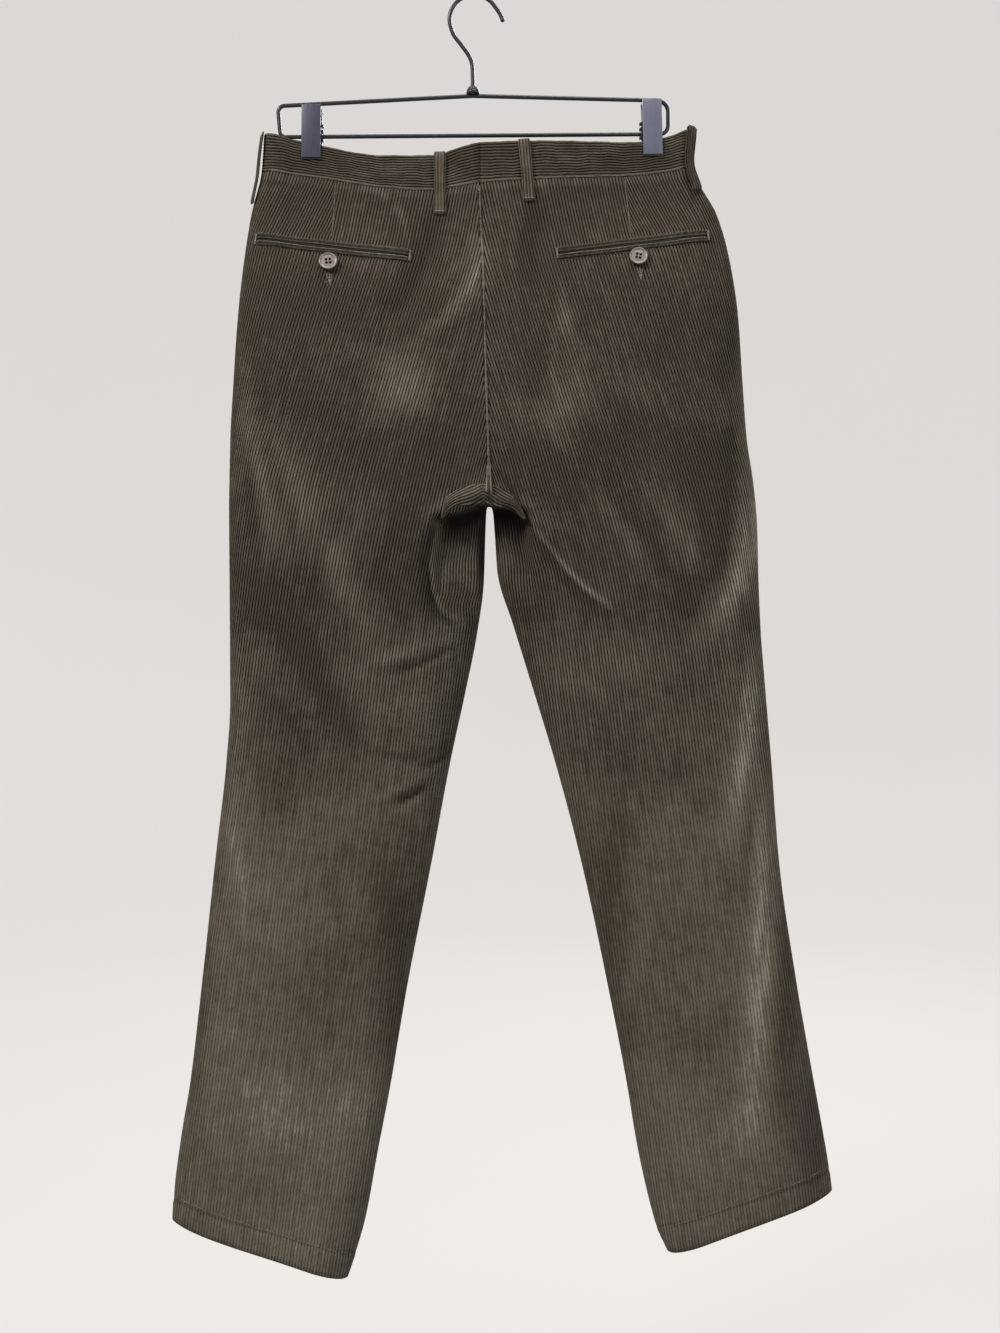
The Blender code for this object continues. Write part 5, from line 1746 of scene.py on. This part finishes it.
# stage, lights, camera
studio = {
    "floorZ": -1.46, "floorRadius": 3.2, "wallRadius": 4.6, "wallTop": 3.6,
    "tone": (0.80, 0.775, 0.75),
}


def stageMaterial():
    g = Graph("studio_paper", Roughness=0.95, Emission_Strength=0.81)
    g.shader.inputs["Emission Color"].default_value = (*studio["tone"], 1)
    soft = g.noise(g.place(), 3.0, 2.0)
    return g.finish(g.blend(soft, (0.085, 0.083, 0.081), (0.095, 0.093, 0.091)))


def makeStage():
    # a flat pale floor that turns up into a far round wall
    bpy.ops.mesh.primitive_circle_add(
        vertices=96, radius=studio["floorRadius"], fill_type="NGON",
        location=(0, 0, studio["floorZ"]),
    )
    bpy.ops.object.mode_set(mode="EDIT")
    bpy.ops.mesh.select_all(action="SELECT")
    bpy.ops.mesh.inset(thickness=0.4)
    bpy.ops.mesh.select_all(action="DESELECT")
    bpy.ops.object.mode_set(mode="OBJECT")
    floor = bpy.context.object
    floor.name = "studioFloor"
    rim = studio["floorRadius"] - 0.01
    for edge in floor.data.edges:
        edge.select = all(math.hypot(*floor.data.vertices[v].co[:2]) > rim for v in edge.vertices)
    bpy.ops.object.mode_set(mode="EDIT")
    bpy.ops.mesh.select_mode(type="EDGE")
    grow = (studio["wallRadius"] / studio["floorRadius"]) ** (1 / 8)
    for i in range(8):
        lift = (studio["wallTop"] - studio["floorZ"]) * ((i + 1) ** 2 - i**2) / 64
        bpy.ops.mesh.extrude_region_move(TRANSFORM_OT_translate={"value": (0, 0, lift)})
        factor = grow ** (1.9 - 0.225 * i)
        bpy.ops.transform.resize(value=(factor, factor, 1))
    bpy.ops.object.mode_set(mode="OBJECT")
    bpy.ops.object.transform_apply(location=True, rotation=True, scale=True)
    bpy.ops.object.shade_smooth()
    floor.data.materials.append(stageMaterial())
    floor.visible_diffuse = False


def addLight(name, where, aim, size, power, colour=(1, 1, 1)):
    lamp = bpy.data.lights.new(name, "AREA")
    lamp.shape = "DISK"
    lamp.size = size
    lamp.energy = power
    lamp.color = colour
    obj = bpy.data.objects.new(name, lamp)
    obj.location = where
    obj.rotation_euler = (Vector(aim) - Vector(where)).to_track_quat("-Z", "Y").to_euler()
    bpy.context.scene.collection.objects.link(obj)


makeStage()
addLight("keyLight", (-2.0, -1.7, 1.7), (0, 0, -0.6), 0.9, 150, (1.0, 0.985, 0.96))
addLight("fillLight", (2.0, -2.0, -0.2), (0, 0, -0.6), 1.6, 34, (0.96, 0.98, 1.0))
addLight("topLight", (0.3, -0.5, 1.7), (0, 0, -0.6), 1.0, 40)
addLight("backLight", (0.9, 2.4, 1.2), (0, 0, -0.6), 1.6, 95, (1.0, 0.99, 0.97))
world = bpy.data.worlds.new("studioAir")
world.use_nodes = True
world.node_tree.nodes["Background"].inputs["Color"].default_value = (0.93, 0.925, 0.91, 1)
world.node_tree.nodes["Background"].inputs["Strength"].default_value = 0.26
bpy.context.scene.world = world
bpy.context.scene.view_settings.view_transform = "Standard"

view = {"distance": 1.35, "x": 0.0242, "z": -0.6226, "lens": 39.2}
lensData = bpy.data.cameras.new("camera")
lensData.lens = view["lens"]
lensData.sensor_width = 36
camera = bpy.data.objects.new("camera", lensData)
camera.location = (view["x"], -view["distance"], view["z"])
camera.rotation_euler = (math.radians(90), 0, 0)
bpy.context.scene.collection.objects.link(camera)
bpy.context.scene.camera = camera
print("stage, lights and camera placed")
